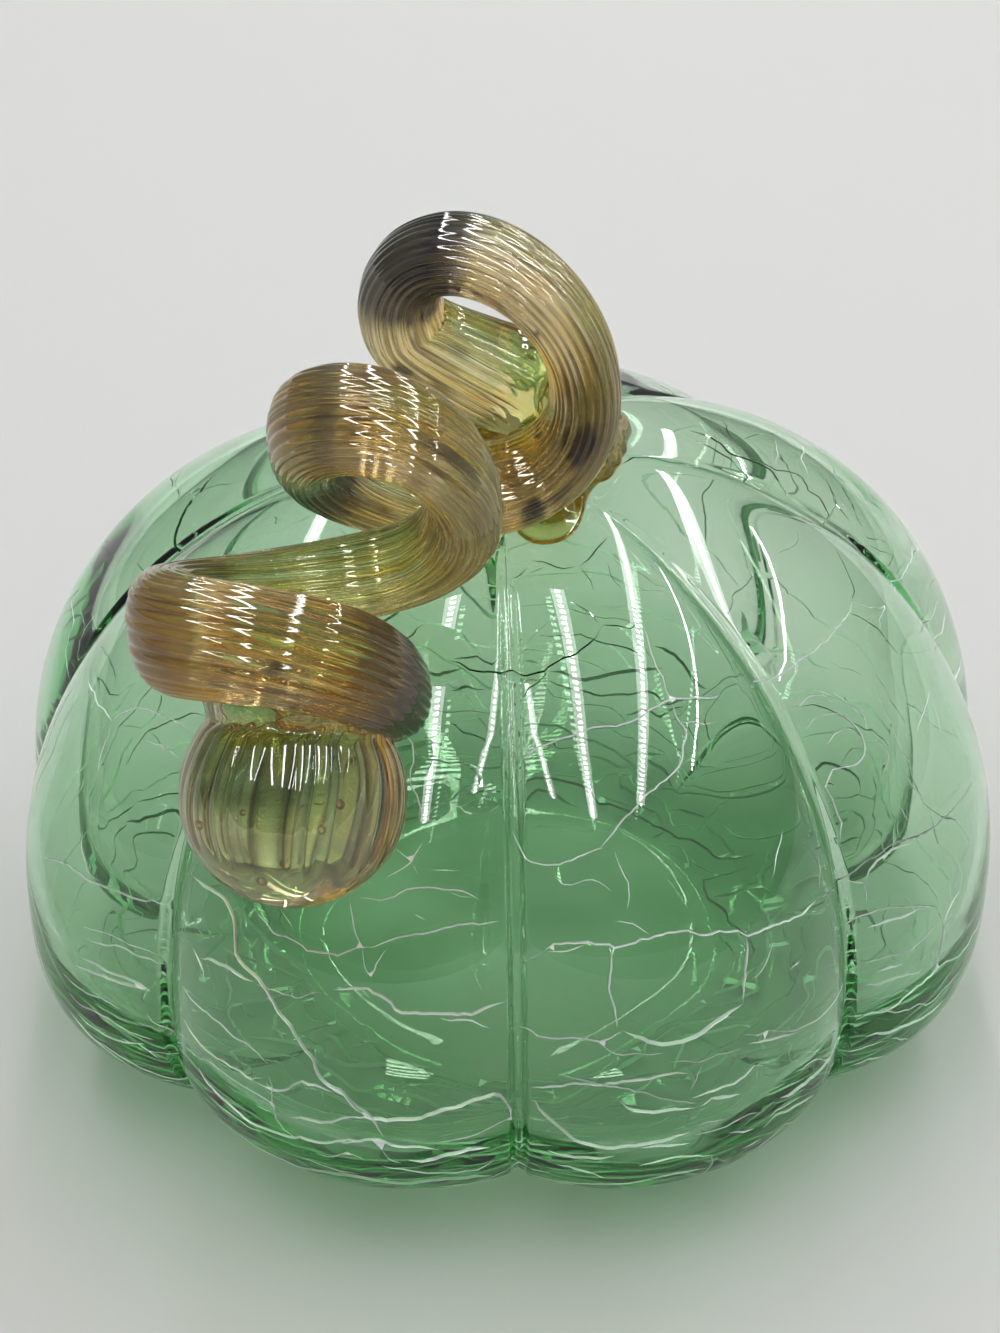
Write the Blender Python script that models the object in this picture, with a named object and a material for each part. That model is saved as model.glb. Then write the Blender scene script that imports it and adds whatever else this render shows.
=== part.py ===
"""Blown-glass pumpkin: lobed hollow body, poured stem foot, corkscrew stem, ball knob.

Metres, +Z up. The origin is on the body's axis at the level of the flat base;
-Y is the front of the ornament, where one groove faces forward and the stem
hangs over the left shoulder.
"""

import math

import bmesh
import bpy
from mathutils import Vector

MM = 0.001

# ---------------------------------------------------------------- body
BODY_R = 100.0 * MM          # radius over the lobe crests
BODY_UPPER = 84.0 * MM       # rise from the widest level to the crown
BODY_LOWER = 42.0 * MM       # drop from the widest level to the base
UPPER_POWER = 2.07           # superellipse power of the shoulder
LOWER_POWER = 3.1            # superellipse power of the flank below
DIMPLE = 5.0 * MM            # sink of the crown round the stem
DIMPLE_R = 30.0 * MM
GROOVE_AZIMUTHS = (-131.0, -84.0, -43.5, 1.0, 43.5, 90.5, 137.5, 183.0)
LOBE_SWELL = (0.998, 1.008, 1.000, 1.000, 1.000, 1.018, 1.000, 0.990)   # hand-blown unevenness
LOBE_SAG = (0.014, 0.020, 0.004, 0.014, 0.028, 0.008, 0.006, 0.010)     # the same below the widest level
GROOVE_SIDE = 0.080          # groove depth over radius, on the flank
GROOVE_CROWN = 0.150         # the same near the crown
GROOVE_POWER = 0.72          # how sharply the lobes meet
BASE_FLAT_R = 46.0 * MM      # flat disc that the body stands on
NECK_R = 7.0 * MM            # hole left by the blowpipe
WALL = 4.0 * MM
BASE_WALL = 7.0 * MM
LOBE_STEPS = 8               # facets across one lobe
OUTER_RINGS = 22
INNER_RINGS = 16

# ---------------------------------------------------------------- stem
FOOT_CENTRE = (8.5 * MM, -1.5 * MM)
FOOT_R = 18.0 * MM           # least reach of the poured foot
# direction from +X (degrees), extra reach over FOOT_R, half width (degrees) of each drip
FOOT_DRIPS = ((20.0, 0.13, 26.0), (-86.0, 0.55, 24.0), (96.0, 0.12, 26.0), (176.0, 0.16, 28.0))
TRUNK_START = (10.0 * MM, 0.5 * MM, 133.0 * MM)   # where the cane leaves the foot
TRUNK_LEAN = (-0.78, -0.12, 0.61)                 # direction in which it leaves
TRUNK_R = 9.6 * MM
SEAM = 0.3 * MM              # seam left between fused pieces

CANE_WIDE = 9.8 * MM         # half width of the flattened cane
CANE_THIN = 6.5 * MM         # half thickness of the flattened cane
CANE_SIDES = 14
COIL_STEP = 15.0             # degrees of turn between sections

# One row for each half turn: centre of the turn, from the widest level (mm)
COIL_AXIS = (
    (14.0, 1.0, 109.0),
    (-3.0, -12.5, 109.8),
    (-1.5, -28.5, 103.5),
    (-21.8, -49.0, 103.0),
    (-26.0, -67.5, 98.2),
    (-38.0, -76.5, 86.5),
    (-37.0, -83.0, 76.0),
)
COIL_START, COIL_END = -90.0, 990.0
# turn angle, coil radius (mm)
COIL_RADIUS = ((-90, 14.0), (0, 22.0), (180, 17.0), (360, 21.5),
               (540, 18.0), (720, 24.0), (900, 19.5), (990, 8.0))
# turn angle, height of the turn over its width
COIL_SQUASH = ((0, 0.88), (270, 0.81), (540, 0.91), (810, 0.79))
# turn angle, tip of the coil axis below level, swing of the axis to the left
COIL_TILT = ((-90, -10.0), (180, 0.0), (450, 26.0), (720, 56.0), (990, 56.0))
COIL_SWING = ((-90, 6.0), (180, 0.0), (450, -6.0), (720, -12.0), (990, 12.0))
JOIN_TURN = 0.0              # turn angle where the trunk runs into the coil
# turn angle, share of the full width left as the cane runs into the knob
CANE_TAPER = ((830, 1.0), (950, 0.66), (990, 0.52))

KNOB_CENTRE = (-36.0 * MM, -88.5 * MM, 107.2 * MM)
KNOB_R = 19.2 * MM


def clear_scene():
    for ob in list(bpy.data.objects):
        bpy.data.objects.remove(ob, do_unlink=True)


def glass(name, colour, roughness):
    mat = bpy.data.materials.new(name)
    mat.use_nodes = True
    bsdf = mat.node_tree.nodes["Principled BSDF"]
    bsdf.inputs["Base Color"].default_value = (*colour, 1.0)
    bsdf.inputs["Roughness"].default_value = roughness
    bsdf.inputs["Metallic"].default_value = 0.0
    bsdf.inputs["Transmission Weight"].default_value = 1.0
    bsdf.inputs["IOR"].default_value = 1.5
    return mat


def add_object(name, bm, material, cutter=False):
    bmesh.ops.recalc_face_normals(bm, faces=bm.faces[:])
    mesh = bpy.data.meshes.new(name)
    bm.to_mesh(mesh)
    bm.free()
    ob = bpy.data.objects.new(name, mesh)
    bpy.context.scene.collection.objects.link(ob)
    if cutter:
        ob.hide_render = True
        ob.display_type = "WIRE"
    else:
        mesh.materials.append(material)
        mesh.shade_smooth()
        mesh.set_sharp_from_angle(angle=math.radians(50))
    return ob


def cut(ob, cutter):
    mod = ob.modifiers.new("cut_" + cutter.name, "BOOLEAN")
    mod.operation = "DIFFERENCE"
    mod.solver = "EXACT"
    mod.object = cutter


def smooth_table(rows, x):
    """Value of a short table at x, eased from one row to the next."""
    if x <= rows[0][0]:
        return rows[0][1]
    for (x0, y0), (x1, y1) in zip(rows, rows[1:]):
        if x <= x1:
            f = (x - x0) / (x1 - x0)
            f = f * f * (3.0 - 2.0 * f)
            return y0 + (y1 - y0) * f
    return rows[-1][1]


def catmull(points, x):
    """Smooth curve through equally spaced points, x counted in points."""
    n = len(points)
    i = min(max(int(math.floor(x)), 0), n - 2)
    f = x - i
    p1, p2 = Vector(points[i]), Vector(points[i + 1])
    p0 = Vector(points[i - 1]) if i > 0 else 2 * p1 - p2
    p3 = Vector(points[i + 2]) if i + 2 < n else 2 * p2 - p1
    return 0.5 * ((2 * p1) + (p2 - p0) * f + (2 * p0 - 5 * p1 + 4 * p2 - p3) * f * f
                  + (3 * p1 - p0 - 3 * p2 + p3) * f * f * f)


def hermite(p0, m0, p1, m1, f):
    """Point on the cubic that leaves p0 along m0 and reaches p1 along m1."""
    return ((2 * f ** 3 - 3 * f ** 2 + 1) * p0 + (f ** 3 - 2 * f ** 2 + f) * m0
            + (-2 * f ** 3 + 3 * f ** 2) * p1 + (f ** 3 - f ** 2) * m1)


# ---------------------------------------------------------------- body shape
def profile(t, inset=0.0, base=0.0):
    """Radius and height of the lobe crest; t runs from 0 at the crown to 1 at the base."""
    a = math.pi * t
    s, c = math.sin(a), math.cos(a)
    r_max, up, low = BODY_R - inset, BODY_UPPER - inset, BODY_LOWER - base
    if c > 0.0:
        r = abs(s) ** (2.0 / UPPER_POWER) * r_max
        z = abs(c) ** (2.0 / UPPER_POWER) * up
        z -= DIMPLE * math.exp(-(r / DIMPLE_R) ** 2)
    else:
        r = abs(s) ** (2.0 / LOWER_POWER) * r_max
        z = -(abs(c) ** (2.0 / LOWER_POWER)) * low
    return r, z + BODY_LOWER


def groove_depth(t):
    if t < 0.25:
        return GROOVE_CROWN + (GROOVE_SIDE - GROOVE_CROWN) * t / 0.25
    if t < 0.70:
        return GROOVE_SIDE
    f = min((t - 0.70) / 0.24, 1.0)
    return GROOVE_SIDE * (1.0 - f * f * (3.0 - 2.0 * f))


def swell_share(t):
    """The lobes differ on the shoulder and flank, not at the neck or on the base."""
    return min(1.0, max(0.0, t - 0.04) / 0.16, max(0.0, 0.94 - t) / 0.16)


def sag_share(t):
    """The lobes sag most halfway down the flank below the widest level."""
    if not 0.5 < t < 0.94:
        return 0.0
    return math.sin(math.pi * (t - 0.5) / 0.44) ** 2


def lobe_angles():
    """Azimuths round the body, closer together beside each groove."""
    out = []
    count = len(GROOVE_AZIMUTHS)
    for i, a0 in enumerate(GROOVE_AZIMUTHS):
        a1 = GROOVE_AZIMUTHS[(i + 1) % count] + (360.0 if i + 1 == count else 0.0)
        for k in range(LOBE_STEPS):
            f = 0.5 - 0.5 * math.cos(math.pi * k / LOBE_STEPS)
            f = 0.55 * f + 0.45 * k / LOBE_STEPS
            out.append((math.radians(a0 + (a1 - a0) * f), f, LOBE_SWELL[i], LOBE_SAG[i]))
    return out


def body_ring(t, inset, base, share):
    r, z = profile(t, inset, base)
    ring = []
    for azimuth, f, swell, sag in lobe_angles():
        crest = math.sin(math.pi * f) ** GROOVE_POWER
        k = 1.0 - share * groove_depth(t) * (1.0 - crest)
        k *= 1.0 + crest * ((swell - 1.0) * swell_share(t) + sag * sag_share(t))
        lift = 1.0 + 0.6 * (swell - 1.0) * crest * swell_share(t)
        ring.append(Vector((r * k * math.sin(azimuth), -r * k * math.cos(azimuth),
                            BODY_LOWER + (z - BODY_LOWER) * (lift if z > BODY_LOWER else 1.0))))
    return ring


def find_t(radius, upper, inset=0.0, base=0.0):
    """Profile parameter at which the crest profile has this radius."""
    lo, hi = (0.0, 0.5) if upper else (1.0, 0.5)
    for _ in range(60):
        mid = 0.5 * (lo + hi)
        if profile(mid, inset, base)[0] < radius:
            lo = mid
        else:
            hi = mid
    return 0.5 * (lo + hi)


def spread(t0, t1, count, inset, base):
    """Parameters that walk the profile in about equal steps of length."""
    fine = [t0 + (t1 - t0) * i / 400.0 for i in range(401)]
    pts = [profile(t, inset, base) for t in fine]
    run = [0.0]
    for (r0, z0), (r1, z1) in zip(pts, pts[1:]):
        run.append(run[-1] + math.hypot(r1 - r0, z1 - z0))
    out, j = [], 0
    for i in range(count + 1):
        want = run[-1] * i / count
        while j < 399 and run[j + 1] < want:
            j += 1
        f = (want - run[j]) / max(run[j + 1] - run[j], 1e-12)
        out.append(fine[j] + (fine[j + 1] - fine[j]) * min(max(f, 0.0), 1.0))
    return out


def bridge(bm, a, b):
    n = len(a)
    for i in range(n):
        bm.faces.new((a[i], a[(i + 1) % n], b[(i + 1) % n], b[i]))


def ring_verts(bm, ring, z=None):
    return [bm.verts.new((p.x, p.y, p.z if z is None else z)) for p in ring]


def make_body(material):
    bm = bmesh.new()
    outer = []
    for t in spread(find_t(NECK_R, True), find_t(BASE_FLAT_R, False), OUTER_RINGS, 0.0, 0.0):
        outer.append(ring_verts(bm, body_ring(t, 0.0, 0.0, 1.0)))
    for v in outer[-1]:
        v.co.z = 0.0
    inner = []
    flat = BASE_FLAT_R - WALL
    for t in spread(find_t(NECK_R, True, WALL, BASE_WALL),
                    find_t(flat, False, WALL, BASE_WALL), INNER_RINGS, WALL, BASE_WALL):
        inner.append(ring_verts(bm, body_ring(t, WALL, BASE_WALL, 0.85)))
    for v in inner[-1]:
        v.co.z = BASE_WALL
    for rings in (outer, inner):
        for a, b in zip(rings, rings[1:]):
            bridge(bm, a, b)
    bridge(bm, outer[0], inner[0])
    bm.faces.new(outer[-1])
    bm.faces.new(inner[-1])
    return add_object("pumpkin_body", bm, material)


def make_seat_cutter():
    """The body's outside, raised by one seam, which shapes the underside of the foot."""
    bm = bmesh.new()
    rings = []
    for t in spread(find_t(NECK_R, True), find_t(BASE_FLAT_R, False), OUTER_RINGS, 0.0, 0.0):
        ring = body_ring(t, 0.0, 0.0, 1.0)
        rings.append([bm.verts.new((p.x, p.y, p.z + 1.2 * SEAM)) for p in ring])
    for a, b in zip(rings, rings[1:]):
        bridge(bm, a, b)
    bm.faces.new(rings[0])
    bm.faces.new(rings[-1])
    return add_object("seat_cutter", bm, None, cutter=True)


def drip(a):
    """Extra reach of the foot's skirt in direction a, over its least reach."""
    extra = 0.0
    for direction, reach, width in FOOT_DRIPS:
        off = (math.degrees(a) - direction + 180.0) % 360.0 - 180.0
        extra += reach * math.exp(-(off / width) ** 2)
    return extra


def make_foot(material, cutter):
    """Poured pad: uneven skirt on the crown that swells up into the leaning trunk."""
    bm = bmesh.new()
    sides = 36
    base = Vector((FOOT_CENTRE[0], FOOT_CENTRE[1], BODY_LOWER + BODY_UPPER - DIMPLE))
    top = Vector(TRUNK_START)
    lean = Vector(TRUNK_LEAN).normalized()
    rings = []
    # rise from skirt to trunk, share of the way from FOOT_R to TRUNK_R, lift above the straight loft
    steps = ((0.0, 0.0, -16.0), (0.0, 0.0, 1.2), (0.16, 0.22, 1.4), (0.38, 0.40, 1.4),
             (0.62, 0.62, 0.9), (0.84, 0.86, 0.3), (1.0, 1.0, 0.0))
    for rise, share, lift in steps:
        centre = base.lerp(top, rise) + Vector((0.0, 0.0, lift * MM))
        normal = Vector((0.0, 0.0, 1.0)).lerp(lean, rise).normalized()
        side = Vector((0.0, 1.0, 0.0)).cross(normal).normalized()
        ahead = normal.cross(side)
        ring = []
        for i in range(sides):
            a = 2.0 * math.pi * i / sides
            r = (FOOT_R + (TRUNK_R - FOOT_R) * share) * (1.0 + (1.0 - share) ** 2 * drip(a))
            ring.append(bm.verts.new(centre + side * (r * math.cos(a)) + ahead * (r * math.sin(a))))
        rings.append(ring)
    for a, b in zip(rings, rings[1:]):
        bridge(bm, a, b)
    bm.faces.new(rings[0])
    bm.faces.new(rings[-1])
    ob = add_object("stem_foot", bm, material)
    cut(ob, cutter)
    return ob


# ---------------------------------------------------------------- stem shape
def coil_frame(turn):
    """Centre of the coil at this turn angle, with its axis, rightward and upward directions."""
    x = (turn - COIL_START) / 180.0
    c = catmull(COIL_AXIS, x) * MM
    c.z += BODY_LOWER
    tilt = math.radians(smooth_table(COIL_TILT, turn))
    swing = math.radians(smooth_table(COIL_SWING, turn))
    axis = Vector((-math.sin(swing) * math.cos(tilt), -math.cos(swing) * math.cos(tilt), -math.sin(tilt)))
    right = Vector((math.cos(swing), -math.sin(swing), 0.0))
    return c, axis, right, axis.cross(right)


def coil_point(turn):
    c, axis, right, up = coil_frame(turn)
    r = smooth_table(COIL_RADIUS, turn) * MM
    e = smooth_table(COIL_SQUASH, turn)
    a = math.radians(turn)
    return c - right * (r * math.cos(a)) + up * (r * e * math.sin(a))


def stem_path():
    """Centreline of the cane from the foot to inside the knob, with its wide direction."""
    path = []
    lean = Vector(TRUNK_LEAN).normalized()
    start = Vector(TRUNK_START) + lean * SEAM
    join = coil_point(JOIN_TURN)
    lead = (coil_point(JOIN_TURN + 1.0) - coil_point(JOIN_TURN - 1.0)).normalized()
    axis = coil_frame(JOIN_TURN)[1]
    for i in range(8):
        f = i / 8.0
        p = hermite(start, lean * 0.026, join, lead * 0.022, f)
        thin = TRUNK_R + (CANE_THIN - TRUNK_R) * f
        wide = TRUNK_R + (CANE_WIDE - TRUNK_R) * f
        path.append((p, axis, wide, thin))
    steps = int(round((COIL_END - JOIN_TURN) / COIL_STEP))
    for i in range(steps + 1):
        turn = JOIN_TURN + (COIL_END - JOIN_TURN) * i / steps
        wide = smooth_table(CANE_TAPER, turn) * CANE_WIDE
        path.append((coil_point(turn), coil_frame(turn)[1], wide, min(CANE_THIN, wide)))
    return path


def make_coil(material, cutter):
    path = stem_path()
    bm = bmesh.new()
    rings = []
    for i, (p, axis, wide, thin) in enumerate(path):
        before = path[max(i - 1, 0)][0]
        after = path[min(i + 1, len(path) - 1)][0]
        along = (after - before).normalized()
        if i == 0:
            along = Vector(TRUNK_LEAN).normalized()
        w = (axis - along * axis.dot(along)).normalized()
        n = along.cross(w)
        ring = []
        for k in range(CANE_SIDES):
            a = 2.0 * math.pi * k / CANE_SIDES
            ring.append(bm.verts.new(p + w * (wide * math.cos(a)) + n * (thin * math.sin(a))))
        rings.append(ring)
    for a, b in zip(rings, rings[1:]):
        bridge(bm, a, b)
    bm.faces.new(rings[0])
    bm.faces.new(rings[-1])
    ob = add_object("stem_coil", bm, material)
    cut(ob, cutter)
    return ob


def ball(radius, segments, rows):
    bm = bmesh.new()
    bmesh.ops.create_uvsphere(bm, u_segments=segments, v_segments=rows, radius=radius)
    bmesh.ops.translate(bm, verts=bm.verts[:], vec=Vector(KNOB_CENTRE))
    return bm


def main():
    clear_scene()
    green = glass("green_crackle_glass", (0.42, 0.68, 0.50), 0.04)
    amber = glass("amber_glass", (0.55, 0.36, 0.12), 0.06)
    foot_amber = glass("pale_amber_glass", (0.48, 0.42, 0.16), 0.06)
    knob_amber = glass("olive_amber_glass", (0.52, 0.42, 0.18), 0.05)
    make_body(green)
    make_foot(foot_amber, make_seat_cutter())
    make_coil(amber, add_object("knob_cutter", ball(KNOB_R + SEAM, 28, 16), None, cutter=True))
    add_object("stem_knob", ball(KNOB_R, 28, 16), knob_amber)


main()
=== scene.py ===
import math
import random

import bpy
import numpy as np
from mathutils import Matrix, Vector
from mathutils.bvhtree import BVHTree
from mathutils.geometry import delaunay_2d_cdt
from mathutils.kdtree import KDTree


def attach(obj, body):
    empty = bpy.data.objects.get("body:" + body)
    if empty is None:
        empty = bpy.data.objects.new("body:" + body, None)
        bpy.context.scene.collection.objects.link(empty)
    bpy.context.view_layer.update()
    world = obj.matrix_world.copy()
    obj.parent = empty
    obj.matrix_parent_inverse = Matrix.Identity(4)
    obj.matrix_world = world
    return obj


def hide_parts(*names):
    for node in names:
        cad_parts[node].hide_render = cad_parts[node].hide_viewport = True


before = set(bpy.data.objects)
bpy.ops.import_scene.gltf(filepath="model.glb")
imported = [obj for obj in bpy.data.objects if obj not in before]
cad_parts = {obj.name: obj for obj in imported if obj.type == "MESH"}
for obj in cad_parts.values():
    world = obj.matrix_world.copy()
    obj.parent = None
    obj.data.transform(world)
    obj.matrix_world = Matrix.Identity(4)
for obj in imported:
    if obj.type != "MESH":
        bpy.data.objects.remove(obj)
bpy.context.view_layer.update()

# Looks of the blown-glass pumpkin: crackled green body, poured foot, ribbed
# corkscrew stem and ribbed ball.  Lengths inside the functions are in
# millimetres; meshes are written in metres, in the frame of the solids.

MM = 0.001

# ---------------------------------------------------------------- camera
CAM_POS = Vector((-0.00085, -0.49256, 0.40826))
CAM_PITCH = math.radians(34.282)      # below level
CAM_ROLL = math.radians(-0.666)
CAM_F = 2987.68                       # focal length in pixels of a 1000 pixel wide frame
CENTRE = (500.0, 666.5)


def camera_axes():
    fwd = Vector((0.0, math.cos(CAM_PITCH), -math.sin(CAM_PITCH)))
    right0 = Vector((1.0, 0.0, 0.0))
    up0 = right0.cross(fwd)
    right = right0 * math.cos(CAM_ROLL) + up0 * math.sin(CAM_ROLL)
    up = up0 * math.cos(CAM_ROLL) - right0 * math.sin(CAM_ROLL)
    return right, up, fwd


def make_camera():
    right, up, fwd = camera_axes()
    data = bpy.data.cameras.new("camera")
    data.sensor_fit = "HORIZONTAL"
    data.sensor_width = 36.0
    data.lens = CAM_F * 36.0 / 1000.0
    data.clip_start = 0.01
    cam = bpy.data.objects.new("camera", data)
    rot = Matrix((right, up, -fwd)).transposed().to_4x4()
    cam.matrix_world = Matrix.Translation(CAM_POS) @ rot
    bpy.context.scene.collection.objects.link(cam)
    bpy.context.scene.camera = cam


# ---------------------------------------------------------------- body surface
BODY_R, BODY_UPPER, BODY_LOWER = 100.0, 84.0, 42.0
UPPER_POWER, LOWER_POWER = 2.07, 3.1
DIMPLE, DIMPLE_R = 5.0, 30.0
GROOVES = np.array((-131.0, -84.0, -43.5, 1.0, 43.5, 90.5, 137.5, 183.0, 229.0))
SWELL = np.array((0.998, 1.008, 1.000, 1.000, 1.000, 1.018, 1.000, 0.990))
SAG = np.array((0.014, 0.020, 0.004, 0.014, 0.028, 0.008, 0.006, 0.010))
GROOVE_SIDE, GROOVE_CROWN, GROOVE_POWER = 0.080, 0.150, 0.72
BASE_FLAT_R, NECK_R = 46.0, 7.0
WALL, BASE_WALL = 4.0, 7.0

rng = np.random.default_rng(412)
WAVES = []
for _ in range(16):
    d = rng.normal(size=3)
    d /= np.linalg.norm(d)
    WAVES.append((d / rng.uniform(5.0, 11.0), rng.uniform(0, 6.283), rng.uniform(0.02, 0.055)))


def ripple(x, y, z, shift):
    """Slow unevenness of hand-blown glass (mm)."""
    out = np.zeros_like(x)
    for d, ph, a in WAVES:
        out += a * np.sin(d[0] * x + d[1] * y + d[2] * z + ph * (1.0 + shift))
    return out


def profile(t, inset, base):
    a = np.pi * t
    s, c = np.abs(np.sin(a)), np.cos(a)
    upper = c > 0.0
    c = np.abs(c)
    r_max, high, low = BODY_R - inset, BODY_UPPER - inset, BODY_LOWER - base
    p = np.where(upper, 2.0 / UPPER_POWER, 2.0 / LOWER_POWER)
    r = s ** p * r_max
    z = np.where(upper, c ** p * high - DIMPLE * np.exp(-(r / DIMPLE_R) ** 2), -(c ** p) * low)
    return r, z + BODY_LOWER


def crest(f, e):
    p = GROOVE_POWER
    s2 = np.sin(np.pi * f) ** 2
    return ((s2 + e * e) ** (p / 2) - e ** p) / ((1.0 + e * e) ** (p / 2) - e ** p)


def groove_depth(t):
    low = np.clip((t - 0.70) / 0.24, 0.0, 1.0)
    low = 1.0 - low * low * (3.0 - 2.0 * low)
    side = GROOVE_SIDE * low
    return np.where(t < 0.25, GROOVE_CROWN + (GROOVE_SIDE - GROOVE_CROWN) * t / 0.25, side)


def swell_share(t):
    return np.minimum(1.0, np.minimum(np.maximum(t - 0.04, 0.0) / 0.16, np.maximum(0.94 - t, 0.0) / 0.16))


def sag_share(t):
    return np.where((t > 0.5) & (t < 0.94), np.sin(np.pi * np.clip((t - 0.5) / 0.44, 0, 1)) ** 2, 0.0)


def body_point(az, t, inner=False):
    """Point of the outer or inner wall at azimuth az (degrees) and profile parameter t."""
    inset, base, share, e = (WALL, BASE_WALL, 0.85, 0.12) if inner else (0.0, 0.0, 1.0, 0.045)
    if inner:
        low = np.clip((t - 0.40) / 0.34, 0.0, 1.0) * np.clip((0.94 - t) / 0.10, 0.0, 1.0)
        clear = np.exp(-(((az - 130.0) / 38.0) ** 4)) * np.clip((0.62 - t) / 0.2, 0.0, 1.0)
        inset = inset + 3.2 * low * low * (3.0 - 2.0 * low) - 1.9 * clear * np.clip((t - 0.06) / 0.08, 0.0, 1.0)
    r, z = profile(t, inset, base)
    i = np.clip(np.searchsorted(GROOVES, az, side="right") - 1, 0, 7)
    f = (az - GROOVES[i]) / (GROOVES[i + 1] - GROOVES[i])
    cr = crest(f, e)
    k = 1.0 - share * groove_depth(t) * (1.0 - cr)
    if not inner:
        side = np.minimum(f, 1.0 - f) * np.radians(GROOVES[i + 1] - GROOVES[i]) * np.maximum(r, 1.0)
        run = np.clip((t - 0.10) / 0.08, 0.0, 1.0) * np.clip((0.90 - t) / 0.12, 0.0, 1.0)
        fold = np.clip((side - 0.7) / 1.3, 0.0, 1.0)
        k = k - 1.15 * run * (1.0 - fold * fold * (3.0 - 2.0 * fold)) / BODY_R
    k = k * (1.0 + cr * ((SWELL[i] - 1.0) * swell_share(t) + SAG[i] * sag_share(t)))
    lift = 1.0 + 0.6 * (SWELL[i] - 1.0) * cr * swell_share(t)
    a = np.radians(az)
    z = BODY_LOWER + (z - BODY_LOWER) * np.where(z > BODY_LOWER, lift, 1.0)
    x, y = r * k * np.sin(a), -r * k * np.cos(a)
    wob = ripple(x, y, z, 1.0 if inner else 0.0) * (2.6 if inner else 1.0)
    wob = wob * np.clip((r - 22.0) / 25.0, 0.0, 1.0) * np.clip((0.93 - t) / 0.2, 0.0, 1.0)
    g = 1.0 + wob / np.maximum(r, 20.0)
    return np.stack([x * g, y * g, z], -1)


def find_t(radius, upper, inset=0.0, base=0.0):
    lo, hi = (0.0, 0.5) if upper else (1.0, 0.5)
    for _ in range(60):
        mid = 0.5 * (lo + hi)
        if float(profile(np.array(mid), inset, base)[0]) < radius:
            lo = mid
        else:
            hi = mid
    return 0.5 * (lo + hi)


class Wall:
    """One wall of the body, unrolled: U along the azimuth (mm at BODY_R), V down the profile (mm)."""

    def __init__(self, inner):
        self.inner = inner
        inset, base = (WALL, BASE_WALL) if inner else (0.0, 0.0)
        t0 = find_t(NECK_R, True, inset, base)
        t1 = find_t(BASE_FLAT_R - (WALL if inner else 0.0), False, inset, base)
        self.t = np.linspace(t0, t1, 3000)
        r, z = profile(self.t, inset, base)
        self.v = np.concatenate([[0.0], np.cumsum(np.hypot(np.diff(r), np.diff(z)))])
        self.r = r
        self.length = self.v[-1]
        self.floor = BASE_WALL if inner else 0.0
        self.z_end = float(z[-1]) - self.floor

    def point(self, u, v):
        u, v = np.asarray(u, float), np.asarray(v, float)
        az = np.degrees(u / BODY_R)
        t = np.interp(v, self.v, self.t)
        p = body_point(az, t, self.inner)
        f = np.clip((v - (self.length - 14.0)) / 14.0, 0.0, 1.0)
        p[..., 2] -= self.z_end * f * f * (3.0 - 2.0 * f)
        return p

    def radius(self, v):
        return np.interp(v, self.v, self.r)

    def frame(self, u, v):
        """Point, tangent along U, tangent along V and outward normal."""
        h = 0.05
        scale = BODY_R / np.maximum(self.radius(v), 5.0)
        hu = h * scale
        p = self.point(u, v)
        du = self.point(u + hu, v) - self.point(u - hu, v)
        dv = self.point(u, np.minimum(v + h, self.length)) - self.point(u, np.maximum(v - h, 0.0))
        du /= np.maximum(np.linalg.norm(du, axis=-1, keepdims=True), 1e-9)
        dv /= np.maximum(np.linalg.norm(dv, axis=-1, keepdims=True), 1e-9)
        n = np.cross(dv, du)
        n /= np.maximum(np.linalg.norm(n, axis=-1, keepdims=True), 1e-9)
        return p, du, dv, n


U_MIN, U_MAX = math.radians(-131.0) * BODY_R, math.radians(229.0) * BODY_R

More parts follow.
